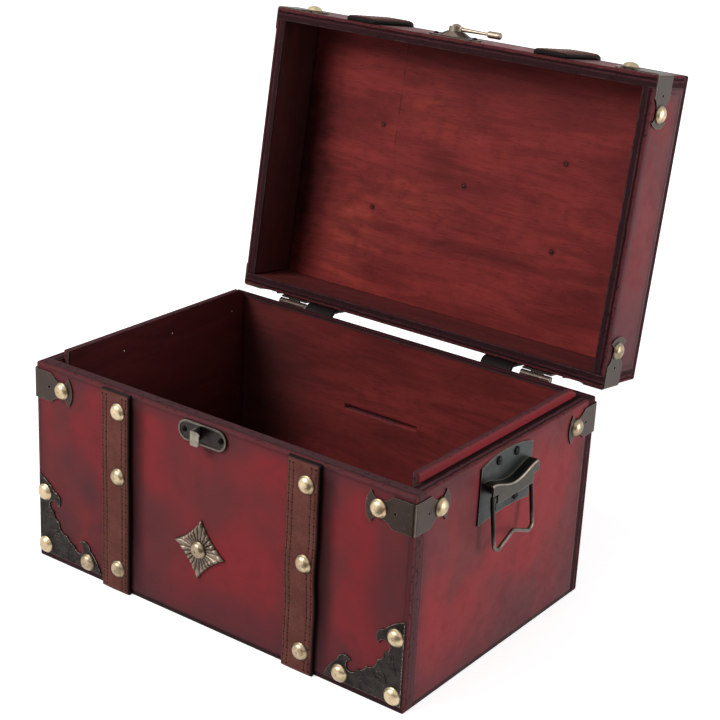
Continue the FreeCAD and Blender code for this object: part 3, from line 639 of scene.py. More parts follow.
def metal_material(name, base, worn, tarnish, rough, wear_width, wear, dents, cloud):
    """Aged plating: clouds of tarnish, scratches and edges rubbed to bare metal.

    Where their meshes mark them, the hollows of the rosettes are dark and their high spots rubbed, the nails
    have a painted dark reflection at the top of the dome and painted shade on the flange, and the plates'
    rims are rubbed.
    """
    graph, shader = new_material(name, 1.0)
    point = graph.place()
    patina = graph.effect("Patina", Point=point)
    film = graph.spread(patina["Tarnish"], 0.38, 0.66, 0.0, cloud)
    if callable(base):
        base = base(graph, point)
    tone = graph.mix(film, base, tarnish)
    tone = graph.mix(graph.times(patina["Scratch"], 0.18), tone, worn)
    edge = graph.effect("Rubbed edge", Radius=wear_width)["Mask"]
    ragged = graph.times(edge, graph.spread(patina["Pit"], 0.30, 0.62, 0.45, 1.0))
    tone = graph.mix(graph.times(ragged, wear), tone, worn)
    if name in ("nail_brass", "rosette_brass"):
        # Painted dark reflection at the top of the nails' domes and painted shade on their flanges; patina in
        # the rosettes' hollows
        raised = graph.mark("raised")
        hollow = graph.spread(raised, 0.10, 0.60, 0.85, 0.0)
        tone = graph.mix(hollow, tone, bpy.context.scene.money_box_metal.black)
        tone = graph.mix(graph.spread(raised, 0.62, 0.95, 0.0, 0.6), tone, worn)
    if name == "pressed_plate":
        rim = graph.times(graph.mark("rubbed_rim"), graph.spread(patina["Pit"], 0.42, 0.60, 0.0, 0.7))
        tone = graph.mix(rim, tone, worn)
    graph.feed(shader["Base Color"], tone)
    dull = graph.spread(film, 0.0, 1.0, rough, rough + 0.12)
    graph.feed(shader["Roughness"], graph.minus(dull, graph.times(ragged, 0.08)))
    height = graph.minus(patina["Pit"], graph.times(patina["Scratch"], 0.3))
    graph.feed(shader["Normal"], graph.bump(height, dents))


def leather_material():
    """Pebbled hide with dressed cut edges and a dark underside, painted shade behind the hinge, which its
    mesh marks.
    """
    look = bpy.context.scene.money_box_leather
    graph, shader = new_material("brown_hide")
    skin = graph.effect("Leather skin", Point=graph.place())
    tone = graph.mix(graph.spread(skin["Tone"], 0.35, 0.7), look.hide, look.worn)
    tone = graph.mix(graph.spread(skin["Crease"], 0.62, 0.80, 0.0, 0.35), tone, look.cut)
    tone = graph.mix(graph.spread(skin["Pebble"], 0.25, 0.6, 0.2, 0.0), tone, look.cut)
    graph.feed(shader["Base Color"], graph.mix(graph.mark("cut_edge"), tone, look.cut))
    graph.feed(shader["Roughness"], graph.spread(skin["Tone"], 0.3, 0.7, 0.50, 0.62))
    shader["Specular IOR Level"].default_value = 0.07
    height = graph.plus(skin["Pebble"], graph.times(skin["Crease"], 0.8))
    graph.feed(shader["Normal"], graph.bump(height, 0.22))


def thread_material():
    """Twisted thread, and the needle holes that its mesh marks, dark with painted shade."""
    look = bpy.context.scene.money_box_leather
    graph, shader = new_material("strap_thread")
    twist = graph.noise(graph.vector("MULTIPLY", graph.place(), (3.0, 3.0, 1.2)), 1.0, 2.0)
    tone = graph.mix(graph.spread(twist, 0.3, 0.7, 0.0, 0.35), look.thread, look.cut)
    graph.feed(shader["Base Color"], graph.mix(graph.times(graph.mark("cut_edge"), 0.8), tone, look.cut))
    shader["Roughness"].default_value = 0.8
    shader["Specular IOR Level"].default_value = 0.1
    graph.feed(shader["Normal"], graph.bump(twist, 0.3))


def bracket_tone(graph, point):
    """Bronze sheet, rubbed bright where it bends round a corner."""
    look = bpy.context.scene.money_box_metal
    corner = graph.effect("Sheet bends")["Corner"]
    return graph.mix(graph.times(corner, 0.55), look.bronze, look.rubbed)


def handle_tone(graph, point):
    """Slate plate, a hood rubbed to greyish brass in front and dark on top, a painted highlight where its top
    meets the plate, and its bends rubbed bright with a painted highlight.
    """
    look = bpy.context.scene.money_box_metal
    out = graph.size(graph.split(point)[0])
    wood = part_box("base_right_end")[1][0] / MM
    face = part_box("handle_plate_right")[1][0] / MM
    tone = graph.mix(graph.spread(out, face - 3.2, face - 1.2), look.slate, look.hood)
    bends = graph.effect("Sheet bends")
    tone = graph.mix(graph.spread(bends["Up"], 0.35, 0.85, 0.0, 0.8), tone, look.black)
    # Painted highlight along the foot of the hood's top, where it meets the plate
    rear_highlight = graph.times(graph.spread(out, wood + 2.4, wood + 1.5),
                       graph.spread(bends["Up"], 0.5, 0.7, 0.0, 0.8))
    tone = graph.mix(rear_highlight, tone, look.rubbed)
    # Bends rubbed bright, partly a painted highlight
    return graph.mix(bends["Shelf"], tone, look.rubbed)


def wire_tone(graph, point):
    """Black wire, worn grey where fingers lift it."""
    look = bpy.context.scene.money_box_metal
    level = graph.split(point)[2]
    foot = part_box("bail_right")[0][2] / MM
    return graph.mix(graph.spread(level, foot + 3.0, foot + 14.0, 0.35, 0.0), look.wire, look.rubbed)


def catch_tone(graph, point):
    """Dark recess inside a lighter rim, and a pale hook."""
    look = bpy.context.scene.money_box_metal
    wood = -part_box("base_front")[0][1] / MM
    out = graph.minus(graph.times(graph.split(point)[1], -1.0), wood)
    tone = graph.mix(graph.spread(out, 1.2, 1.7, 0.0, 0.32), look.plate, look.rubbed)
    return graph.mix(graph.spread(out, 2.5, 6.0, 0.0, 0.6), tone, look.rubbed)


def build_materials():
    """Every finish but the boards' own."""
    look = bpy.context.scene.money_box_metal
    # Base, worn and tarnished colour, roughness, width and share of worn edges, dents and share of tarnish
    for name, *finish in (
        ("nail_brass", look.brass, look.brass, look.tarnish, 0.33, 0.30 * MM, 0.30, 0.06, 0.75),
        ("bronze_sheet", bracket_tone, look.rubbed, look.plate, 0.40, 0.30 * MM, 0.85, 0.04, 0.30),
        ("pressed_plate", look.plate, look.rubbed, look.black, 0.45, 0.30 * MM, 0.80, 0.10, 0.70),
        ("rubbed_handle", handle_tone, look.rubbed, look.black, 0.38, 0.45 * MM, 0.95, 0.05, 0.30),
        ("bail_wire", wire_tone, look.rubbed, look.black, 0.30, 0.45 * MM, 0.50, 0.04, 0.40),
        ("catch_metal", catch_tone, look.rubbed, look.black, 0.36, 0.35 * MM, 0.55, 0.05, 0.40),
        ("screw_black", look.black, look.slate, look.black, 0.40, 0.25 * MM, 0.50, 0.06, 1.00),
        ("pin_brass", look.boss, look.rubbed, look.slate, 0.36, 0.40 * MM, 0.70, 0.06, 0.70),
        ("arm_brass", look.arm, look.rubbed, look.boss, 0.32, 0.40 * MM, 0.70, 0.05, 0.50),
        ("rosette_brass", look.boss, look.arm, look.plate, 0.40, 0.30 * MM, 0.50, 0.06, 0.50),
    ):
        metal_material(name, *finish)
    leather_material()
    thread_material()


# Mesh building blocks

def add_piece(name, bm, material, body, replaces=(), smooth=True):
    """Object from a bmesh, riding on a body and standing for CAD nodes."""
    mesh = bpy.data.meshes.new(name)
    bm.to_mesh(mesh)
    bm.free()
    if "custom_normal" in mesh.attributes:
        mesh.attributes.remove(mesh.attributes["custom_normal"])
    mesh.materials.append(bpy.data.materials[material])
    if smooth:
        mesh.shade_smooth()
    piece = bpy.data.objects.new(name, mesh)
    bpy.context.scene.collection.objects.link(piece)
    if body:
        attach(piece, body)
    if replaces:
        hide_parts(*replaces)
    return piece


def paint(nodes, material):
    """Gives CAD nodes a finished material."""
    for node in nodes:
        slots = NODES[node].data.materials
        slots.clear()
        slots.append(bpy.data.materials[material])


def merged(node, to_local=Matrix()):
    """Copy of a CAD node's mesh in another frame, with its loose triangles joined."""
    bm = bmesh.new()
    bm.from_mesh(NODES[node].data)
    bm.transform(to_local)
    bmesh.ops.remove_doubles(bm, verts=bm.verts[:], dist=SAME_POINT)
    return bm


def whole_faces(node):
    """Copy of a CAD node's mesh whose flat faces are whole again."""
    bm = merged(node)
    bmesh.ops.dissolve_limit(bm, angle_limit=math.radians(0.5), verts=bm.verts[:], edges=bm.edges[:])
    return bm


def lathe(profile, steps):
    """Closed turned solid from a profile of radius and height that starts and ends on the axis."""
    bm = bmesh.new()
    verts = [bm.verts.new((radius, 0, height)) for radius, height in profile]
    edges = [bm.edges.new(pair) for pair in zip(verts, verts[1:])]
    bmesh.ops.spin(bm, geom=verts + edges, cent=(0, 0, 0), axis=(0, 0, 1), angle=math.tau,
                   steps=steps, use_merge=True, use_duplicate=False)
    bmesh.ops.remove_doubles(bm, verts=bm.verts[:], dist=1e-7)
    bmesh.ops.recalc_face_normals(bm, faces=bm.faces[:])
    return bm


def crown(radius, low, high, steps):
    """Profile of a dome's side from near its foot to the axis."""
    turns = [index / steps * math.pi / 2 for index in range(1, steps + 1)]
    return [(radius * math.cos(turn), low + (high - low) * math.sin(turn)) for turn in turns]


def heads(node, to_local=Matrix()):
    """Foot and outward direction of each loose head in a CAD node; heads face along an axis of the frame."""
    bm = merged(node, to_local)
    found = []
    seen = set()
    for seed in bm.verts:
        if seed in seen:
            continue
        seen.add(seed)
        group = [seed]
        for vert in group:
            for edge in vert.link_edges:
                other = edge.other_vert(vert)
                if other not in seen:
                    seen.add(other)
                    group.append(other)
        low, high = span([vert.co for vert in group])
        size = high - low
        axis = min(range(3), key=lambda i: size[i])
        centre = (low + high) / 2
        lowest = [vert.co for vert in group if vert.co[axis] < low[axis] + 0.05 * size[axis]]
        wide = max((co - centre).length for co in lowest)
        outward = 1 if wide > size[axis] else -1
        foot = centre.copy()
        foot[axis] = low[axis] if outward > 0 else high[axis]
        found.append((foot, Vector([outward if i == axis else 0 for i in range(3)])))
    bm.free()
    return found


def stamp(bm, shape, foot, outward, spin=0.0):
    """Copies a shape made on the XY plane to a foot and direction."""
    turn = Matrix.Rotation(spin, 4, "Z")
    if outward.z < 0.999:
        turn = outward.to_track_quat("Z", "Y").to_matrix().to_4x4() @ turn
    mesh = bpy.data.meshes.new("stamp")
    copy = shape.copy()
    copy.transform(Matrix.Translation(foot) @ turn)
    copy.to_mesh(mesh)
    copy.free()
    bm.from_mesh(mesh)
    bpy.data.meshes.remove(mesh)


# Boards

# Axis along each board's grain, axis through it, side of its inner face, and share of painted shade there
BOARDS = {
    "base_front": (0, 1, 1, 0.2),
    "base_back": (0, 1, -1, 0.2),
    "base_left_end": (1, 0, 1, 0.7),
    "base_right_end": (1, 0, -1, 0.6),
    "base_floor": (0, 2, 1, 0.3),
    "lip_left": (1, 0, 1, 0.8),
    "lip_right": (1, 0, -1, 0.3),
    "lid_front": (0, 1, 1, 0.5),
    "lid_back": (0, 1, -1, 0.5),
    "lid_left_end": (1, 0, 1, 0.7),
    "lid_right_end": (1, 0, -1, 0.7),
    "lid_top_panel": (0, 2, -1, 0.0),
}
STRAPPED = ("base_front", "base_back", "lid_front", "lid_back", "lid_top_panel")
# Patches that darken or, below nothing, lighten a board: middle with the lid shut, half sizes and share
STAINS_AND_SHADOWS = {
    "base_front": (
        ((-91, 0, 57), (9, 16), 0.7), ((-41, 0, 54), (13, 17), 0.4), ((119, 0, 62), (15, 36), 0.65),
        ((23, 0, 16), (46, 13), 0.35), ((-1, 0, 116), (26, 11), 0.7), ((20, 0, 103), (20, 12), -0.5),
        ((-97, 0, 19), (8, 10), -0.5),
    ),
    "base_right_end": (
        ((0, -28, 96), (10, 26), 0.45), ((0, 34, 23), (22, 16), 0.2), ((0, 76, 38), (10, 24), 0.2),
        ((0, -72, 60), (10, 40), -0.35), ((0, -41, 118), (30, 6), 0.4),
    ),
    # Painted shadow of the left wall on the back wall
    "base_back": (((-122, 0, 66), (62, 95), 0.6),),
    "lid_right_end": (((0, 82, 146), (60, 50), 0.7),),
    # The first three paint the shadow of the lid's left and front walls on the panel; the rest darken or
    # lighten patches
    "lid_top_panel": (
        ((-130, 0, 0), (34, 120), 0.9), ((0, -86, 0), (150, 20), 0.5), ((-118, -74, 0), (28, 22), 0.6),
        ((-20, -10, 0), (22, 16), 0.35), ((-84, 50, 0), (26, 36), -0.7), ((-30, 16, 0), (40, 13), -0.6),
        ((-26, -43, 0), (40, 18), -0.35), ((12, 40, 0), (95, 7), 0.35), ((85, 54, 0), (40, 20), 0.2),
    ),
}
# Joint in the lid's inner veneer: place along the panel, and how far across it runs
VENEER_JOINT = (-56.0, -8.0)
# Nails of the lid's top whose tips come through, inside this half width and half depth
TIPS_WITHIN = (80 * MM, 40 * MM)
# Brads of a lip board: shares of its length, and how far under its top
BRAD_SHARES = (0.29, 0.56, 0.92)
BRAD_DROP = 13.0 * MM


def board_frame(node, to_shut, grain_axis, thick_axis):
    """Matrix to a board's own frame with X along the grain and Z through it, and its half sizes in mm."""
    low, high = local_box(node, to_shut)
    grain = Vector([1.0 if i == grain_axis else 0.0 for i in range(3)])
    through = Vector([1.0 if i == thick_axis else 0.0 for i in range(3)])
    across = through.cross(grain)
    turn = Matrix((grain, across, through)).to_4x4()
    to_local = turn @ Matrix.Translation(-(low + high) / 2) @ to_shut
    half = (high - low) / 2 / MM
    across_axis = 3 - grain_axis - thick_axis
    return to_local, (half[grain_axis], half[across_axis], half[thick_axis])


class MONEYBOX_OT_boards(bpy.types.Operator):
    """Stain the boards of the case and the lid and paint their shade and shadows, with the nail tips and
    brads that show inside
    """
    bl_idname = "moneybox.boards"
    bl_label = "Stain Boards"

    def execute(self, context):
        wide, deep = TIPS_WITHIN
        tips = [LID_OPEN @ foot for foot, outward in heads("lid_studs", LID_SHUT)
                if outward.z > SAME_WAY and abs(foot.x) < wide and abs(foot.y) < deep]
        for node in BOARDS:
            self.stain(node, context.scene.money_box_wood, tips)
        self.nail_tips(tips)
        self.brads()
        return {"FINISHED"}

    def stain(self, node, look, tips):
        """Stains a board as its place in the box has worn it, and paints the shade and shadows that fall on
        it there.
        """
        grain, through, inside, shade = BOARDS[node]
        in_lid = node.startswith("lid")
        to_shut = LID_SHUT if in_lid else Matrix()
        to_local, half = board_frame(node, to_shut, grain, through)
        board = BoardStainAndShade("stain_" + node, to_local, half, inside, shade)
        board.core = (look.rim, look.rim, look.burnt_and_shade)
        if in_lid or node == "base_back":
            board.core = (look.lid_rim, look.plum, look.inner_shade)
        if in_lid:
            board.lines = (0.8, 0.5)
        if node in STRAPPED:
            board.beside = [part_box("strap_front_" + side)[1][0] / MM for side in SIDES]
        if node in ("base_front", "base_back"):
            board.ground_side = 1
        if node in ("base_left_end", "base_right_end"):
            board.ground_side = -1
            board.lined = True
            board.lines = (0.8, 0.15)
        if node in ("lid_left_end", "lid_right_end"):
            board.coat = 0.4
        if node.startswith("lip"):
            board.coat = -0.7
            board.lines = (0.0, 0.0)
        if node == "base_back":
            board.mouth = (to_local @ SLOT_MIDDLE / MM)[:2]
        if node == "lid_top_panel":
            board.core = (look.lid_rim, look.plum, look.burnt_and_shade)
            board.spots = [to_local @ tip / MM for tip in tips]
            board.seams = (VENEER_JOINT,)
        from_shut = to_local @ to_shut.inverted()
        board.clouds = [((from_shut @ (Vector(middle) * MM) / MM)[:2] + (0.0,), reach, share)
                        for middle, reach, share in STAINS_AND_SHADOWS.get(node, ())]
        board.lay()
        paint([node], "stain_" + node)

    def nail_tips(self, tips):
        """Ends of the lid's nails, bent over where they come through inside."""
        draw = random.Random("nail tips")
        inward = -(LID_OPEN.to_3x3() @ UP)
        turn = inward.to_track_quat("Z", "Y").to_matrix().to_4x4()
        low = local_box("lid_top_panel", LID_SHUT)[0]
        bm = bmesh.new()
        for tip in tips:
            start = LID_OPEN @ (LID_SHUT @ tip * Vector((1, 1, 0)) + Vector((0, 0, low.z)))
            bend = draw.uniform(0.5, 0.9)
            lean = Matrix.Rotation(bend, 4, Vector((draw.uniform(-1, 1), 1, 0)).normalized())
            bmesh.ops.create_cone(bm, segments=10, radius1=0.75 * MM, radius2=0.25 * MM, depth=3.0 * MM,
                                  cap_ends=True, matrix=Matrix.Translation(start) @ turn @ lean)
        bmesh.ops.bevel(bm, geom=bm.edges[:], offset=0.08 * MM, segments=1, profile=0.5, affect="EDGES",
                        material=-1)
        add_piece("lid_nail_tips", bm, "arm_brass", "lid")

    def brads(self):
        """Small bright brads that hold the lip boards."""
        bm = bmesh.new()
        shape = lathe([(0, 0), (0.75 * MM, 0), (0.6 * MM, 0.2 * MM), (0, 0.3 * MM)], 12)
        for side, facing in (("left", 1), ("right", -1)):
            low, high = rest_box("lip_" + side)
            inner = high.x if facing > 0 else low.x
            for share in BRAD_SHARES:
                foot = Vector((inner, low.y + share * (high.y - low.y), high.z - BRAD_DROP))
                stamp(bm, shape, foot, Vector((facing, 0, 0)))
        shape.free()
        add_piece("lip_brads", bm, "arm_brass", "base")


# Straps

# Reach round a nail that it draws flat, and reach that it keeps free of stitches
NAIL_FLAT = 9.0 * MM
NAIL_CLEAR = 6.5 * MM
# Rolled rim: drop and width, and width of its dressing
RIM_DROP = 0.9 * MM
RIM_WIDTH = 1.6 * MM
DRESSING = 1.1 * MM
# Groove that stitches lie in: depth, width, distance from the strap's ends and run to its full depth
GROOVE_DEPTH = 0.22 * MM
GROOVE_WIDTH = 0.55 * MM
GROOVE_START = 2.0 * MM
GROOVE_RUN = 3.0 * MM
# How far thread lies over its groove and off its row
THREAD_LIFT = 0.06 * MM
THREAD_SWAY = 0.15
# Length of the steps along a strap
STRAP_STEP = 1.2 * MM


def strap_height(u, s, length, width, thick, nails):
    """Height of the leather over the wood at u across and s along."""
    look = bpy.context.scene.money_box_leather
    near = min((math.hypot(u - nail_u, s - nail_s) for nail_u, nail_s in nails), default=1.0)
    swell = look.crown * (1 - (2 * u / width) ** 2) * (1 - math.exp(-(near / NAIL_FLAT) ** 2))
    rim = min(width / 2 - abs(u), s, length - s)
    roll = RIM_DROP * max(0.0, 1 - rim / RIM_WIDTH) ** 2
    groove = 0.0
    for row in (look.outer_row, look.inner_row):
        groove += GROOVE_DEPTH * math.exp(-((width / 2 - abs(u) - row) / GROOVE_WIDTH) ** 2)
    ends = max(0.0, min(1.0, (min(s, length - s) - GROOVE_START) / GROOVE_RUN))
    return thick + swell - roll - groove * ends


def drift(node, length):
    """How far a hand-cut strap wanders sideways at s along it, with both ends in place."""
    draw = random.Random(node)
    waves = [(draw.uniform(0.15, 0.30) * MM, draw.uniform(5, 18) * MM, draw.uniform(0, math.tau))
             for _ in range(3)]

    def aside(s):
        sway = sum(size * math.sin(s / pitch + start) for size, pitch, start in waves)
        return math.sin(math.pi * s / length) * sway

    return aside


def strap_piece(node, length, width, thick, place, nails, body):
    """Leather strip that stands for a CAD node."""
    bm = bmesh.new()
    across = 2 * round(width / MM)
    along = max(8, round(length / STRAP_STEP))
    bmesh.ops.create_grid(bm, x_segments=across, y_segments=along, size=0.5)
    for vert in bm.verts:
        u = vert.co.x * width
        s = (vert.co.y + 0.5) * length
        vert.co = (u, s, strap_height(u, s, length, width, thick, nails))
    under = bmesh.ops.duplicate(bm, geom=bm.faces[:])["geom"]
    for item in under:
        if isinstance(item, bmesh.types.BMVert):
            item.co.z = 0.0
    bmesh.ops.reverse_faces(bm, faces=[item for item in under if isinstance(item, bmesh.types.BMFace)])
    bmesh.ops.bridge_loops(bm, edges=[edge for edge in bm.edges if edge.is_boundary])
    cut = bm.verts.layers.float.new("cut_edge")
    aside = drift(node, length)
    for vert in bm.verts:
        u, s, height = vert.co
        rim = min(width / 2 - abs(u), s, length - s)
        # The underside takes the dark of the cut edges: painted shade where the fold shows it behind the
        # hinge
        vert[cut] = max(0.0, 1 - rim / DRESSING) if height > 0 else 1.0
        vert.co = place(u + aside(s), s, height)
    bmesh.ops.recalc_face_normals(bm, faces=bm.faces[:])
    return add_piece(node + "_leather", bm, "brown_hide", body, [node])


def ball(size, cut):
    """Small ellipsoid on the origin, marked as thread or as a hole."""
    bm = bmesh.new()
    bmesh.ops.create_uvsphere(bm, u_segments=8, v_segments=5, radius=1.0,
                              matrix=Matrix.Diagonal(size).to_4x4())
    mark = bm.verts.layers.float.new("cut_edge")
    for vert in bm.verts:
        vert[mark] = cut
    return bm


def stitches_piece(node, length, width, thick, place, nails, body):
    """Rows of thread lying in the strap's grooves, with a dark disc of painted shade for the needle hole at
    each end of a stitch.
    """
    look = bpy.context.scene.money_box_leather
    bm = bmesh.new()
    count = int((length - 2 * GROOVE_START) / look.stitch_pitch)
    start = (length - count * look.stitch_pitch) / 2
    stitch = ball(Vector((look.thread_width, look.stitch_length, look.thread_width)) / 2, 0.0)
    # Dark disc that paints the shade of a needle hole
    hole = ball(Vector((look.needle_hole, look.needle_hole, 0.3 * look.needle_hole)) / 2, 1.0)
    aside = drift(node, length)
    draw = random.Random(node + " stitches")
    for row in (look.outer_row, look.inner_row):
        for side in (-1, 1):
            u = side * (width / 2 - row)
            for index in range(2 * count + 1):
                s = start + index / 2 * look.stitch_pitch
                if any(math.hypot(u - nail_u, s - nail_s) < NAIL_CLEAR for nail_u, nail_s in nails):
                    continue
                height = strap_height(u, s, length, width, thick, nails) + THREAD_LIFT
                sway = draw.uniform(-THREAD_SWAY, THREAD_SWAY) * MM
                point = Vector((u + aside(s) + sway, s, height))
                stamp(bm, stitch if index % 2 else hole, point, UP, draw.uniform(-0.1, 0.1))
    stitch.free()
    hole.free()
    for vert in bm.verts:
        vert.co = place(*vert.co)
    bmesh.ops.recalc_face_normals(bm, faces=bm.faces[:])
    return add_piece(node + "_stitches", bm, "strap_thread", body)


def sewn_strap(node, sizes, place, nails, body):
    """Strap and stitches; place puts u across, s along and height over the wood in the frame."""
    return [make(node, *sizes, place, nails, body) for make in (strap_piece, stitches_piece)]


def nails_on(node, to_shut, x, direction):
    """Feet of the nails on a strap at x that face a direction."""
    return [foot for foot, outward in heads(node, to_shut)
            if outward.dot(direction) > SAME_WAY and abs(foot.x - x) < 4 * MM]


def back_end(node):
    """How low a lid strap reaches behind the shut lid."""
    points = [LID_SHUT @ vert.co for vert in NODES[node].data.vertices]
    return min(point.z for point in points if point.y > 0)


class MONEYBOX_OT_straps(bpy.types.Operator):
    """Cut, sew and fit the leather straps"""
    bl_idname = "moneybox.straps"
    bl_label = "Fit Straps"

    def execute(self, context):
        look = context.scene.money_box_leather
        for side in SIDES:
            for end, facing in (("front", -1), ("back", 1)):
                self.upright("strap_%s_%s" % (end, side), facing)
            self.over_lid("lid_strap_" + side, look.bend)
            self.fold(side, look.fold)
        return {"FINISHED"}

    def upright(self, node, facing):
        """Strap on the front or back wall."""
        low, high = rest_box(node)
        centre = (low.x + high.x) / 2
        wood = high.y if facing < 0 else low.y
        nails = [(-facing * (foot.x - centre), foot.z - low.z)
                 for foot in nails_on("base_studs", Matrix(), centre, Vector((0, facing, 0)))]

        def place(u, s, height):
            return Vector((centre - facing * u, wood + facing * height, low.z + s))

        sewn_strap(node, (high.z - low.z, high.x - low.x, high.y - low.y), place, nails, "base")

    def over_lid(self, node, bend):
        """Strap from the lid's front rim over the top and down its back."""
        low, high = local_box(node, LID_SHUT)
        wood_low, wood_high = local_box("lid_top_panel", LID_SHUT)
        centre = (low.x + high.x) / 2
        rise = wood_high.z - bend - low.z
        top = wood_high.y - wood_low.y - 2 * bend
        drop = wood_high.z - bend - back_end(node)
        arc = bend * math.pi / 2
        total = rise + top + drop + 2 * arc
        nails = [(foot.x - centre, rise + arc + foot.y - wood_low.y - bend)
                 for foot in nails_on("lid_studs", LID_SHUT, centre, UP)]

        def place(u, s, height):
            x = centre + u
            if s < rise:
                point = Vector((x, wood_low.y - height, low.z + s))
            elif s < rise + arc:
                turn = (s - rise) / bend
                point = Vector((x, wood_low.y + bend - (bend + height) * math.cos(turn),
                                wood_high.z - bend + (bend + height) * math.sin(turn)))
            elif s < rise + arc + top:
                point = Vector((x, wood_low.y + bend + s - rise - arc, wood_high.z + height))
            elif s < rise + 2 * arc + top:
                turn = (s - rise - arc - top) / bend
                point = Vector((x, wood_high.y - bend + (bend + height) * math.sin(turn),
                                wood_high.z - bend + (bend + height) * math.cos(turn)))
            else:
                point = Vector((x, wood_high.y + height, wood_high.z - bend - (s - rise - 2 * arc - top)))
            return LID_OPEN @ point

        sewn_strap(node, (total, high.x - low.x, high.z - wood_high.z), place, nails, "lid")

    def fold(self, side, bend):
        """Leather that bends behind the hinge, from the base's back strap to the lid's strap."""
        node = "strap_fold_" + side
        low, high = rest_box(node)
        strap_low, strap_high = rest_box("strap_back_" + side)
        centre = (low.x + high.x) / 2
        wood = strap_low.y
        foot = Vector((centre, wood, low.z))
        head = LID_OPEN @ Vector((centre, wood, back_end("lid_strap_" + side)))
        along = (LID_OPEN.to_3x3() @ UP).normalized()
        turn = math.acos(along.z)
        short = bend * math.tan(turn / 2)
        straight = (head.z - foot.z) - (head.y - foot.y) * along.z / along.y - short
        run = (head.y - foot.y) / along.y - short

        def place(u, s, height):
            x = centre + u
            if s < straight:
                return Vector((x, wood + height, foot.z + s))
            angle = min((s - straight) / bend, turn)
            past = max(0.0, s - straight - bend * turn)
            middle = Vector((x, wood + bend, foot.z + straight))
            radial = Vector((0, -math.cos(angle), math.sin(angle)))
            return middle + radial * (bend - height) + along * past

        sizes = (straight + bend * turn + run, high.x - low.x, strap_high.y - strap_low.y)
        for piece in sewn_strap(node, sizes, place, [], None):
            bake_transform(piece)


# Nails, screws and metalwork

# How brightly nails are rubbed, and the dull ones on the rosettes and at the back of the right end
SHINES = (0.9, 0.6, 0.48, 0.42)
DULL_SHINE = 0.34
# Reach round the middle of a rosette, and round the middle of the latch and of the catch
ROSETTE_REACH = 6 * MM
LATCH_REACH = 20 * MM
# Scrolls on an arm of a corner plate, in millimetres: middle from the corner, radius, turns and lead
SCROLLS = (((27.0, 8.2), 4.6, 1.9, 10.0), ((15.5, 13.0), 3.6, 1.7, 5.0))
# Radius of the scrolls' wire, how far it is sunk, and points along a scroll
SCROLL_WIRE = 0.42 * MM
SCROLL_SINK = 0.12 * MM
SCROLL_STEPS = 26


class MONEYBOX_OT_nails(bpy.types.Operator):
    """Set the domed nails and the screws"""
    bl_idname = "moneybox.nails"
    bl_label = "Set Nails and Screws"

    def execute(self, context):
        look = context.scene.money_box_metal
        for half in HALVES:
            body, to_shut, _ = half
            node = body + "_studs"
            dull = self.middles(("rosette", "lid_rosette"), to_shut)
            dull += [foot for foot, outward in heads(node, to_shut) if outward.x > SAME_WAY and foot.y > 0]
            shapes = [self.dome(look, shine) for shine in (*SHINES, DULL_SHINE)]
            self.scatter(node, half, "_domes", "nail_brass", "stud_brass", shapes, dull, ROSETTE_REACH)
        for half in HALVES:
            body, to_shut, _ = half
            fittings = self.middles(("catch", "latch_plate"), to_shut)
            shapes = [self.screw(radius) for radius in (look.screw_radius, look.small_screw)]
            self.scatter(body + "_screws", half, "_heads", "screw_black", "dark_bronze", shapes, fittings,
                         LATCH_REACH)
        return {"FINISHED"}

    def middles(self, nodes, to_shut):
        """Middles of some CAD nodes with the lid shut."""
        return [sum(local_box(node, to_shut), Vector()) / 2 for node in nodes]

    def scatter(self, node, half, ending, material, slot, shapes, middles, reach):
        """Heads on all feet of a node, drawn from the shapes but the last, which stands near the middles."""
        body, to_shut, to_rest = half
        *common, special = shapes
        draw = random.Random(node)
        bm = bmesh.new()
        for foot, outward in heads(node, to_shut):
            near = any((foot - middle).length < reach for middle in middles)
            stamp(bm, special if near else draw.choice(common), foot, outward, draw.uniform(0, math.tau))
        for shape in shapes:
            shape.free()
        bm.transform(to_rest)
        add_piece(node + ending, bm, material, body, [node])

    def dome(self, look, shine):
        """Pressed nail head: a small flat flange under a dome rubbed to a shine, with painted shade on the
        flange and a painted dark reflection at the top.
        """
        radius, rise, lip, flange = look.nail_radius, look.nail_rise, 0.4 * MM, 0.7 * MM
        profile = [(0, 0), (radius, 0), (radius, lip * 0.6), (radius - 0.25 * MM, lip)]
        bm = lathe(profile + crown(radius - flange, lip, rise, 9), 32)
        # The flange is marked low for painted shade at the nail's foot, and the top of the dome lower than
        # its sides for a painted dark reflection
        raised = bm.verts.layers.float.new("raised")
        for vert in bm.verts:
            top = vert.co.z > rise - 0.01 * MM
            vert[raised] = 0.4 * shine if top else shine if vert.co.z > 1.2 * lip else 0.1
        return bm

    def screw(self, radius):
        """Low domed head with a driver slot."""
        rise, wall, slot, depth, least = 1.2 * MM, 0.3 * MM, 0.28 * MM, 0.55 * MM, 0.2 * MM
        bm = lathe([(0, 0), (radius, 0), (radius, wall)] + crown(radius, wall, rise, 6), 24)
        for place in (-slot, -slot * 0.85, slot * 0.85, slot):
            bmesh.ops.bisect_plane(bm, geom=bm.verts[:] + bm.edges[:] + bm.faces[:], plane_co=(place, 0, 0),
                                   plane_no=(1, 0, 0))
        for vert in bm.verts:
            if abs(vert.co.x) < slot * 0.9 and vert.co.z > depth:
                vert.co.z = max(rise - depth - least, least)
        return bm


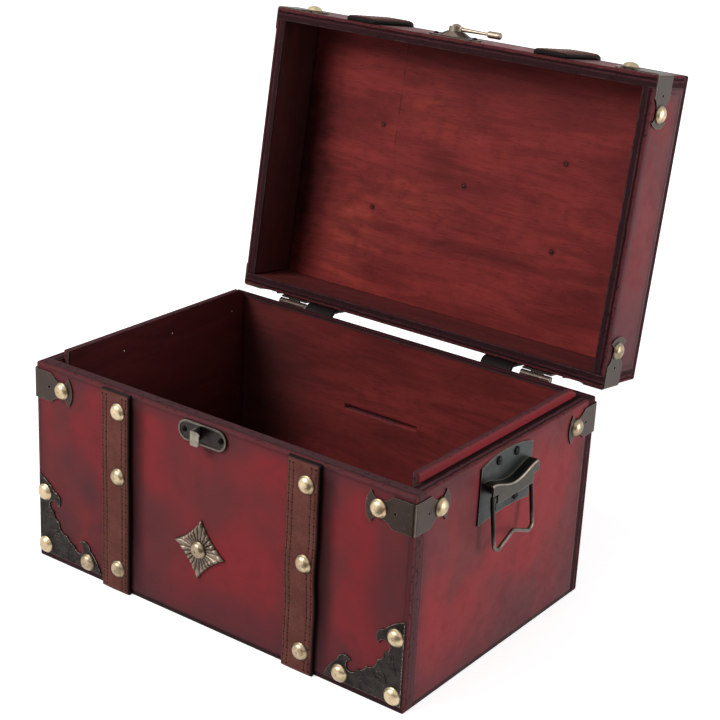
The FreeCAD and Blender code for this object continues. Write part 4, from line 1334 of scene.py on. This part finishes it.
class MONEYBOX_OT_rosettes(bpy.types.Operator):
    """Press the rosettes on the front and on the lid"""
    bl_idname = "moneybox.rosettes"
    bl_label = "Press Rosettes"

    def execute(self, context):
        half_width = context.scene.money_box_metal.rosette_half
        for node, half, facing, upward in (
            ("rosette", HALVES[0], FRONT, UP),
            ("lid_rosette", HALVES[1], UP, -FRONT),
        ):
            body, to_shut, to_rest = half
            low, high = local_box(node, to_shut)
            foot = (low + high) / 2
            foot -= facing * (high - low).dot(facing * facing) / 2
            turn = Matrix((upward.cross(facing), upward, facing)).transposed().to_4x4()
            bm = self.petals(half_width)
            bm.transform(to_rest @ Matrix.Translation(foot) @ turn)
            bmesh.ops.recalc_face_normals(bm, faces=bm.faces[:])
            add_piece(node + "_petals", bm, "rosette_brass", body, [node])
        return {"FINISHED"}

    def petals(self, half):
        """Diamond of petals on XY: ridges from a round eye to four drawn-in sides, with beaded ends."""
        hollow, sheet, relief, count = 1.6 * MM, 0.7 * MM, 1.65 * MM, 24
        bm = bmesh.new()
        bmesh.ops.create_grid(bm, x_segments=count * 10, y_segments=26, size=0.5)
        raised = bm.verts.layers.float.new("raised")
        for vert in bm.verts:
            angle = (vert.co.x + 0.5) * math.tau
            share = vert.co.y + 0.5
            off_side = (angle + math.pi / 4) % (math.pi / 2) - math.pi / 4
            reach = (half - hollow * (1 - math.tan(off_side) ** 2)) / math.cos(off_side)
            across = (angle / math.tau * count + 0.5) % 1.0 * 2 - 1
            ridge = math.sqrt(max(0.0, 1 - across ** 2))
            swell = min(1.0, share / 0.35) * (0.62 + 0.38 * share)
            tip = math.sqrt(max(0.0, 1 - max(0.0, (share - 0.86) / 0.14) ** 2))
            bead = 0.22 * math.exp(-((share - 0.84) / 0.07) ** 2)
            height = ridge * swell * tip * (0.82 + bead)
            radius = share * reach * (1 - 0.035 * (1 - ridge) * share)
            turn = angle + math.radians(42)
            vert.co = (radius * math.cos(turn), radius * math.sin(turn), sheet + relief * min(1.0, height))
            vert[raised] = height if share < 0.99 else 0.35
        bmesh.ops.remove_doubles(bm, verts=bm.verts[:], dist=0.005 * MM)
        rim = bmesh.ops.extrude_edge_only(bm, edges=[edge for edge in bm.edges if edge.is_boundary])["geom"]
        for item in rim:
            if isinstance(item, bmesh.types.BMVert):
                item.co.z = 0.0
        return bm


class MONEYBOX_OT_plates(bpy.types.Operator):
    """Roll the edges of the scalloped corner plates and lay their scrolls"""
    bl_idname = "moneybox.plates"
    bl_label = "Press Corner Plates"

    def execute(self, context):
        for side in SIDES:
            node = "corner_plate_" + side
            self.press(node, "base", FRONT)
            low, high = rest_box(node)
            right = side == "right"
            corner = Vector((high.x if right else low.x, low.y, low.z))
            self.scrolls(node, "base", corner, Vector((-1 if right else 1, 0, 0)), UP, FRONT, Matrix())
        for name in CORNERS:
            node = "lid_plate_" + name
            self.press(node, "lid", LID_OPEN.to_3x3() @ UP)
            low, high = local_box(node, LID_SHUT)
            right = "right" in name
            back = "back" in name
            corner = Vector((high.x if right else low.x, high.y if back else low.y, high.z))
            self.scrolls(node, "lid", corner, Vector((-1 if right else 1, 0, 0)),
                         Vector((0, -1 if back else 1, 0)), UP, LID_OPEN)
        return {"FINISHED"}

    def press(self, node, body, outward):
        """Sheet whose cut edges are rolled over."""
        bm = whole_faces(node)
        top = {face for face in bm.faces if face.normal.dot(outward) > 0.99}
        rim = [edge for edge in bm.edges if len(top.intersection(edge.link_faces)) == 1]
        rolled = bmesh.ops.bevel(bm, geom=rim, offset=0.5 * MM, segments=2, profile=0.5, affect="EDGES",
                                 material=-1, clamp_overlap=True)["faces"]
        mark = bm.loops.layers.float.new("rubbed_rim")
        for face in rolled:
            for loop in face.loops:
                loop[mark] = 1.0
        add_piece(node + "_pressed", bm, "pressed_plate", body, [node], smooth=False)

    def scrolls(self, node, body, corner, along, upward, outward, to_rest):
        """Scrolls of thin raised wire that run from the corner along both arms and curl up at their ends."""
        data = bpy.data.curves.new(node + "_scrolls", "CURVE")
        data.dimensions = "3D"
        data.bevel_depth = SCROLL_WIRE
        data.bevel_resolution = 2
        data.use_fill_caps = True
        data.materials.append(bpy.data.materials["pressed_plate"])
        for first, second in ((along, upward), (upward, along)):
            for centre, radius, turns, lead in SCROLLS:
                spline = data.splines.new("NURBS")
                spline.points.add(SCROLL_STEPS)
                for index, point in enumerate(spline.points):
                    share = index / SCROLL_STEPS
                    angle = math.tau * turns * share - 0.5 * math.pi
                    reach = radius * (1 - 0.85 * share)
                    tail = lead * max(0.0, 1 - share * 5)
                    x = (centre[0] + reach * math.cos(angle) - tail) * MM
                    y = (centre[1] + reach * math.sin(angle)) * MM
                    place = to_rest @ (corner + first * x + second * y - outward * SCROLL_SINK)
                    point.co = (*place, 1.0)
                    point.radius = 1 - 0.45 * share
                spline.order_u = 3
                spline.use_endpoint_u = True
        piece = bpy.data.objects.new(node + "_scrolls", data)
        bpy.context.scene.collection.objects.link(piece)
        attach(piece, body)


class MONEYBOX_OT_metal(bpy.types.Operator):
    """Finish the brackets, latch, catch, handles and hinges"""
    bl_idname = "moneybox.metal"
    bl_label = "Finish Metalwork"

    def execute(self, context):
        paint([part + corner for part in ("bracket_", "lid_bracket_") for corner in CORNERS], "bronze_sheet")
        paint([part + side for part in ("hinge_base_", "hinge_lid_") for side in SIDES], "bronze_sheet")
        paint(["latch_plate"], "bronze_sheet")
        paint(["latch_rivet", "latch_arm"], "arm_brass")
        paint(["hinge_pins"], "pin_brass")
        paint(["handle_plate_" + side for side in SIDES], "rubbed_handle")
        paint(["bail_" + side for side in SIDES], "bail_wire")
        self.catch()
        return {"FINISHED"}

    def catch(self):
        """Rimmed plate with a hook whose leaf is cut wider and rounded at its free end."""
        leaf_thick, leaf_start, wider, leaf_round, soft = 1.05 * MM, 1.5 * MM, 1.7 * MM, 1.9 * MM, 0.3 * MM
        bm = whole_faces("catch")
        low, high = rest_box("catch")
        middle = (low.x + high.x) / 2
        leaf = [vert for vert in bm.verts
                if vert.co.y < low.y + leaf_thick and vert.co.x > middle + leaf_start]
        bmesh.ops.translate(bm, verts=leaf, vec=(wider, 0, 0))
        ends = [edge for edge in bm.edges if all(vert in leaf for vert in edge.verts)
                and abs(edge.verts[0].co.y - edge.verts[1].co.y) > 0.5 * MM]
        bmesh.ops.bevel(bm, geom=ends, offset=leaf_round, segments=5, profile=0.5, affect="EDGES",
                        material=-1, clamp_overlap=True)
        sharp = [edge for edge in bm.edges if len(edge.link_faces) == 2 and edge.calc_face_angle() > 0.6]
        bmesh.ops.bevel(bm, geom=sharp, offset=soft, segments=2, profile=0.5, affect="EDGES",
                        material=-1, clamp_overlap=True)
        piece = add_piece("catch_softened", bm, "catch_metal", "base", ["catch"])
        piece.data.set_sharp_from_angle(angle=math.radians(40))


# Stage

# Half width of the floor, and where its light rises from dim to full, in millimetres from the box
FLOOR_HALF = 12.0
FLOOR_DIM = 0.68
FLOOR_RISE = (250.0, 1200.0)
# Dark card: middle, sizes and height of its two turned-up sides
CARD_MIDDLE = (0.62, -0.62, 0.004)
CARD_SIZES = (1.2, 0.9, 1, 1)
CARD_HEIGHT = 0.55
# Where the lamps point
AIM = Vector((0, 0, 0.12))


def stage_sheet(name, bm, material):
    """Object of the stage from a bmesh."""
    mesh = bpy.data.meshes.new(name)
    bm.to_mesh(mesh)
    bm.free()
    mesh.materials.append(bpy.data.materials[material])
    sheet = bpy.data.objects.new(name, mesh)
    bpy.context.scene.collection.objects.link(sheet)
    return sheet


class MONEYBOX_OT_stage(bpy.types.Operator):
    """Set the camera, the soft light and the pale floor"""
    bl_idname = "moneybox.stage"
    bl_label = "Set Stage"

    def execute(self, context):
        scene = context.scene
        look = scene.money_box_stage
        self.camera(scene, look)
        self.floor(look)
        self.sky(scene, look)
        self.flag(look)
        self.lamps(scene, look)
        scene.view_settings.view_transform = "Standard"
        return {"FINISHED"}

    def camera(self, scene, look):
        """Camera at the photograph's viewing angle."""
        data = bpy.data.cameras.new("view")
        data.lens = look.lens
        data.sensor_width = 36.0
        data.clip_end = 50.0
        camera = bpy.data.objects.new("view", data)
        level = Euler((math.pi / 2 - look.elevation, 0, look.azimuth)).to_matrix().to_4x4()
        camera.matrix_world = Matrix.Translation(look.place) @ level @ Matrix.Rotation(look.roll, 4, "Z")
        scene.collection.objects.link(camera)
        scene.camera = camera

    def seen(self, graph):
        """One for rays that look at the stage, from the camera or by way of metal."""
        path = graph.node("ShaderNodeLightPath").outputs
        mirror = graph.larger(path["Is Glossy Ray"], path["Is Transmission Ray"])
        return graph.larger(path["Is Camera Ray"], mirror)

    def floor(self, look):
        """Floor that looks white far off and keeps a soft shadow round the box."""
        graph, shader = new_material("pale_floor")
        shader["Base Color"].default_value = look.ground
        shader["Roughness"].default_value = 0.9
        shader["Specular IOR Level"].default_value = 0.0
        shader["Emission Color"].default_value = (1, 1, 1, 1)
        shine = graph.spread(graph.vector("LENGTH", graph.place()), *FLOOR_RISE, FLOOR_DIM, 1.0)
        graph.feed(shader["Emission Strength"], graph.times(self.seen(graph), shine))
        bm = bmesh.new()
        bmesh.ops.create_grid(bm, x_segments=1, y_segments=1, size=FLOOR_HALF)
        stage_sheet("floor", bm, "pale_floor")

    def sky(self, scene, look):
        """White surroundings that light the box only softly."""
        world = bpy.data.worlds.new("studio")
        world.use_nodes = True
        graph = Graph(world.node_tree)
        background = world.node_tree.nodes["Background"].inputs
        background["Color"].default_value = (1, 1, 1, 1)
        graph.feed(background["Strength"], graph.spread(self.seen(graph), 0.0, 1.0, look.sky, 1.0))
        scene.world = world

    def flag(self, look):
        """Dark card in front of the right corner, seen only in metal, which gives the nails a dark side."""
        shader = new_material("flag_cloth")[1]
        shader["Base Color"].default_value = look.card
        shader["Roughness"].default_value = 0.9
        bm = bmesh.new()
        bmesh.ops.create_grid(bm, x_segments=1, y_segments=1, size=0.5)
        bm.transform(Matrix.Translation(CARD_MIDDLE) @ Matrix.Diagonal(CARD_SIZES))
        far = [edge for edge in bm.edges
               if all(vert.co.y < -1 for vert in edge.verts) or all(vert.co.x > 1 for vert in edge.verts)]
        for item in bmesh.ops.extrude_edge_only(bm, edges=far)["geom"]:
            if isinstance(item, bmesh.types.BMVert):
                item.co.z = CARD_HEIGHT
        card = stage_sheet("flag", bm, "flag_cloth")
        for ray in ("camera", "diffuse", "transmission", "volume_scatter", "shadow"):
            setattr(card, "visible_" + ray, False)

    def lamps(self, scene, look):
        """Three soft lamps: place, size and power."""
        for name, place, size, watts in (
            ("key", (-0.8, -1.4, 1.3), 0.8, look.key),
            ("fill", (1.7, 0.45, 0.45), 0.9, look.fill),
            ("top", (-0.2, -0.5, 1.9), 1.0, look.top),
        ):
            data = bpy.data.lights.new(name, "AREA")
            data.energy = watts
            data.size = size
            lamp = bpy.data.objects.new(name, data)
            turn = (AIM - Vector(place)).to_track_quat("-Z", "Y").to_matrix().to_4x4()
            lamp.matrix_world = Matrix.Translation(place) @ turn
            scene.collection.objects.link(lamp)


class MONEYBOX_PT_panel(bpy.types.Panel):
    """Money box settings and steps"""
    bl_idname = "MONEYBOX_PT_panel"
    bl_label = "Wooden Money Box"
    bl_space_type = "VIEW_3D"
    bl_region_type = "UI"
    bl_category = "Money Box"

    def draw(self, context):
        for name in GROUPS:
            box = self.layout.box()
            settings = getattr(context.scene, name)
            for key in settings.__annotations__:
                box.prop(settings, key)
        for step in STEPS:
            self.layout.operator(step.bl_idname)


GROUPS = {"money_box_wood": WoodLook, "money_box_leather": LeatherLook, "money_box_metal": MetalLook,
          "money_box_stage": StageLook}
STEPS = (MONEYBOX_OT_boards, MONEYBOX_OT_straps, MONEYBOX_OT_nails, MONEYBOX_OT_rosettes, MONEYBOX_OT_plates,
         MONEYBOX_OT_metal, MONEYBOX_OT_stage)
CLASSES = (*GROUPS.values(), *STEPS, MONEYBOX_PT_panel)


def register():
    for cls in CLASSES:
        bpy.utils.register_class(cls)
    for name, group in GROUPS.items():
        setattr(bpy.types.Scene, name, PointerProperty(type=group))


def unregister():
    for name in GROUPS:
        delattr(bpy.types.Scene, name)
    for cls in reversed(CLASSES):
        bpy.utils.unregister_class(cls)


def main():
    register()
    build_effects()
    build_materials()
    bpy.ops.moneybox.boards()
    bpy.ops.moneybox.straps()
    bpy.ops.moneybox.nails()
    bpy.ops.moneybox.rosettes()
    bpy.ops.moneybox.plates()
    bpy.ops.moneybox.metal()
    bpy.ops.moneybox.stage()


if __name__ == "__main__":
    main()
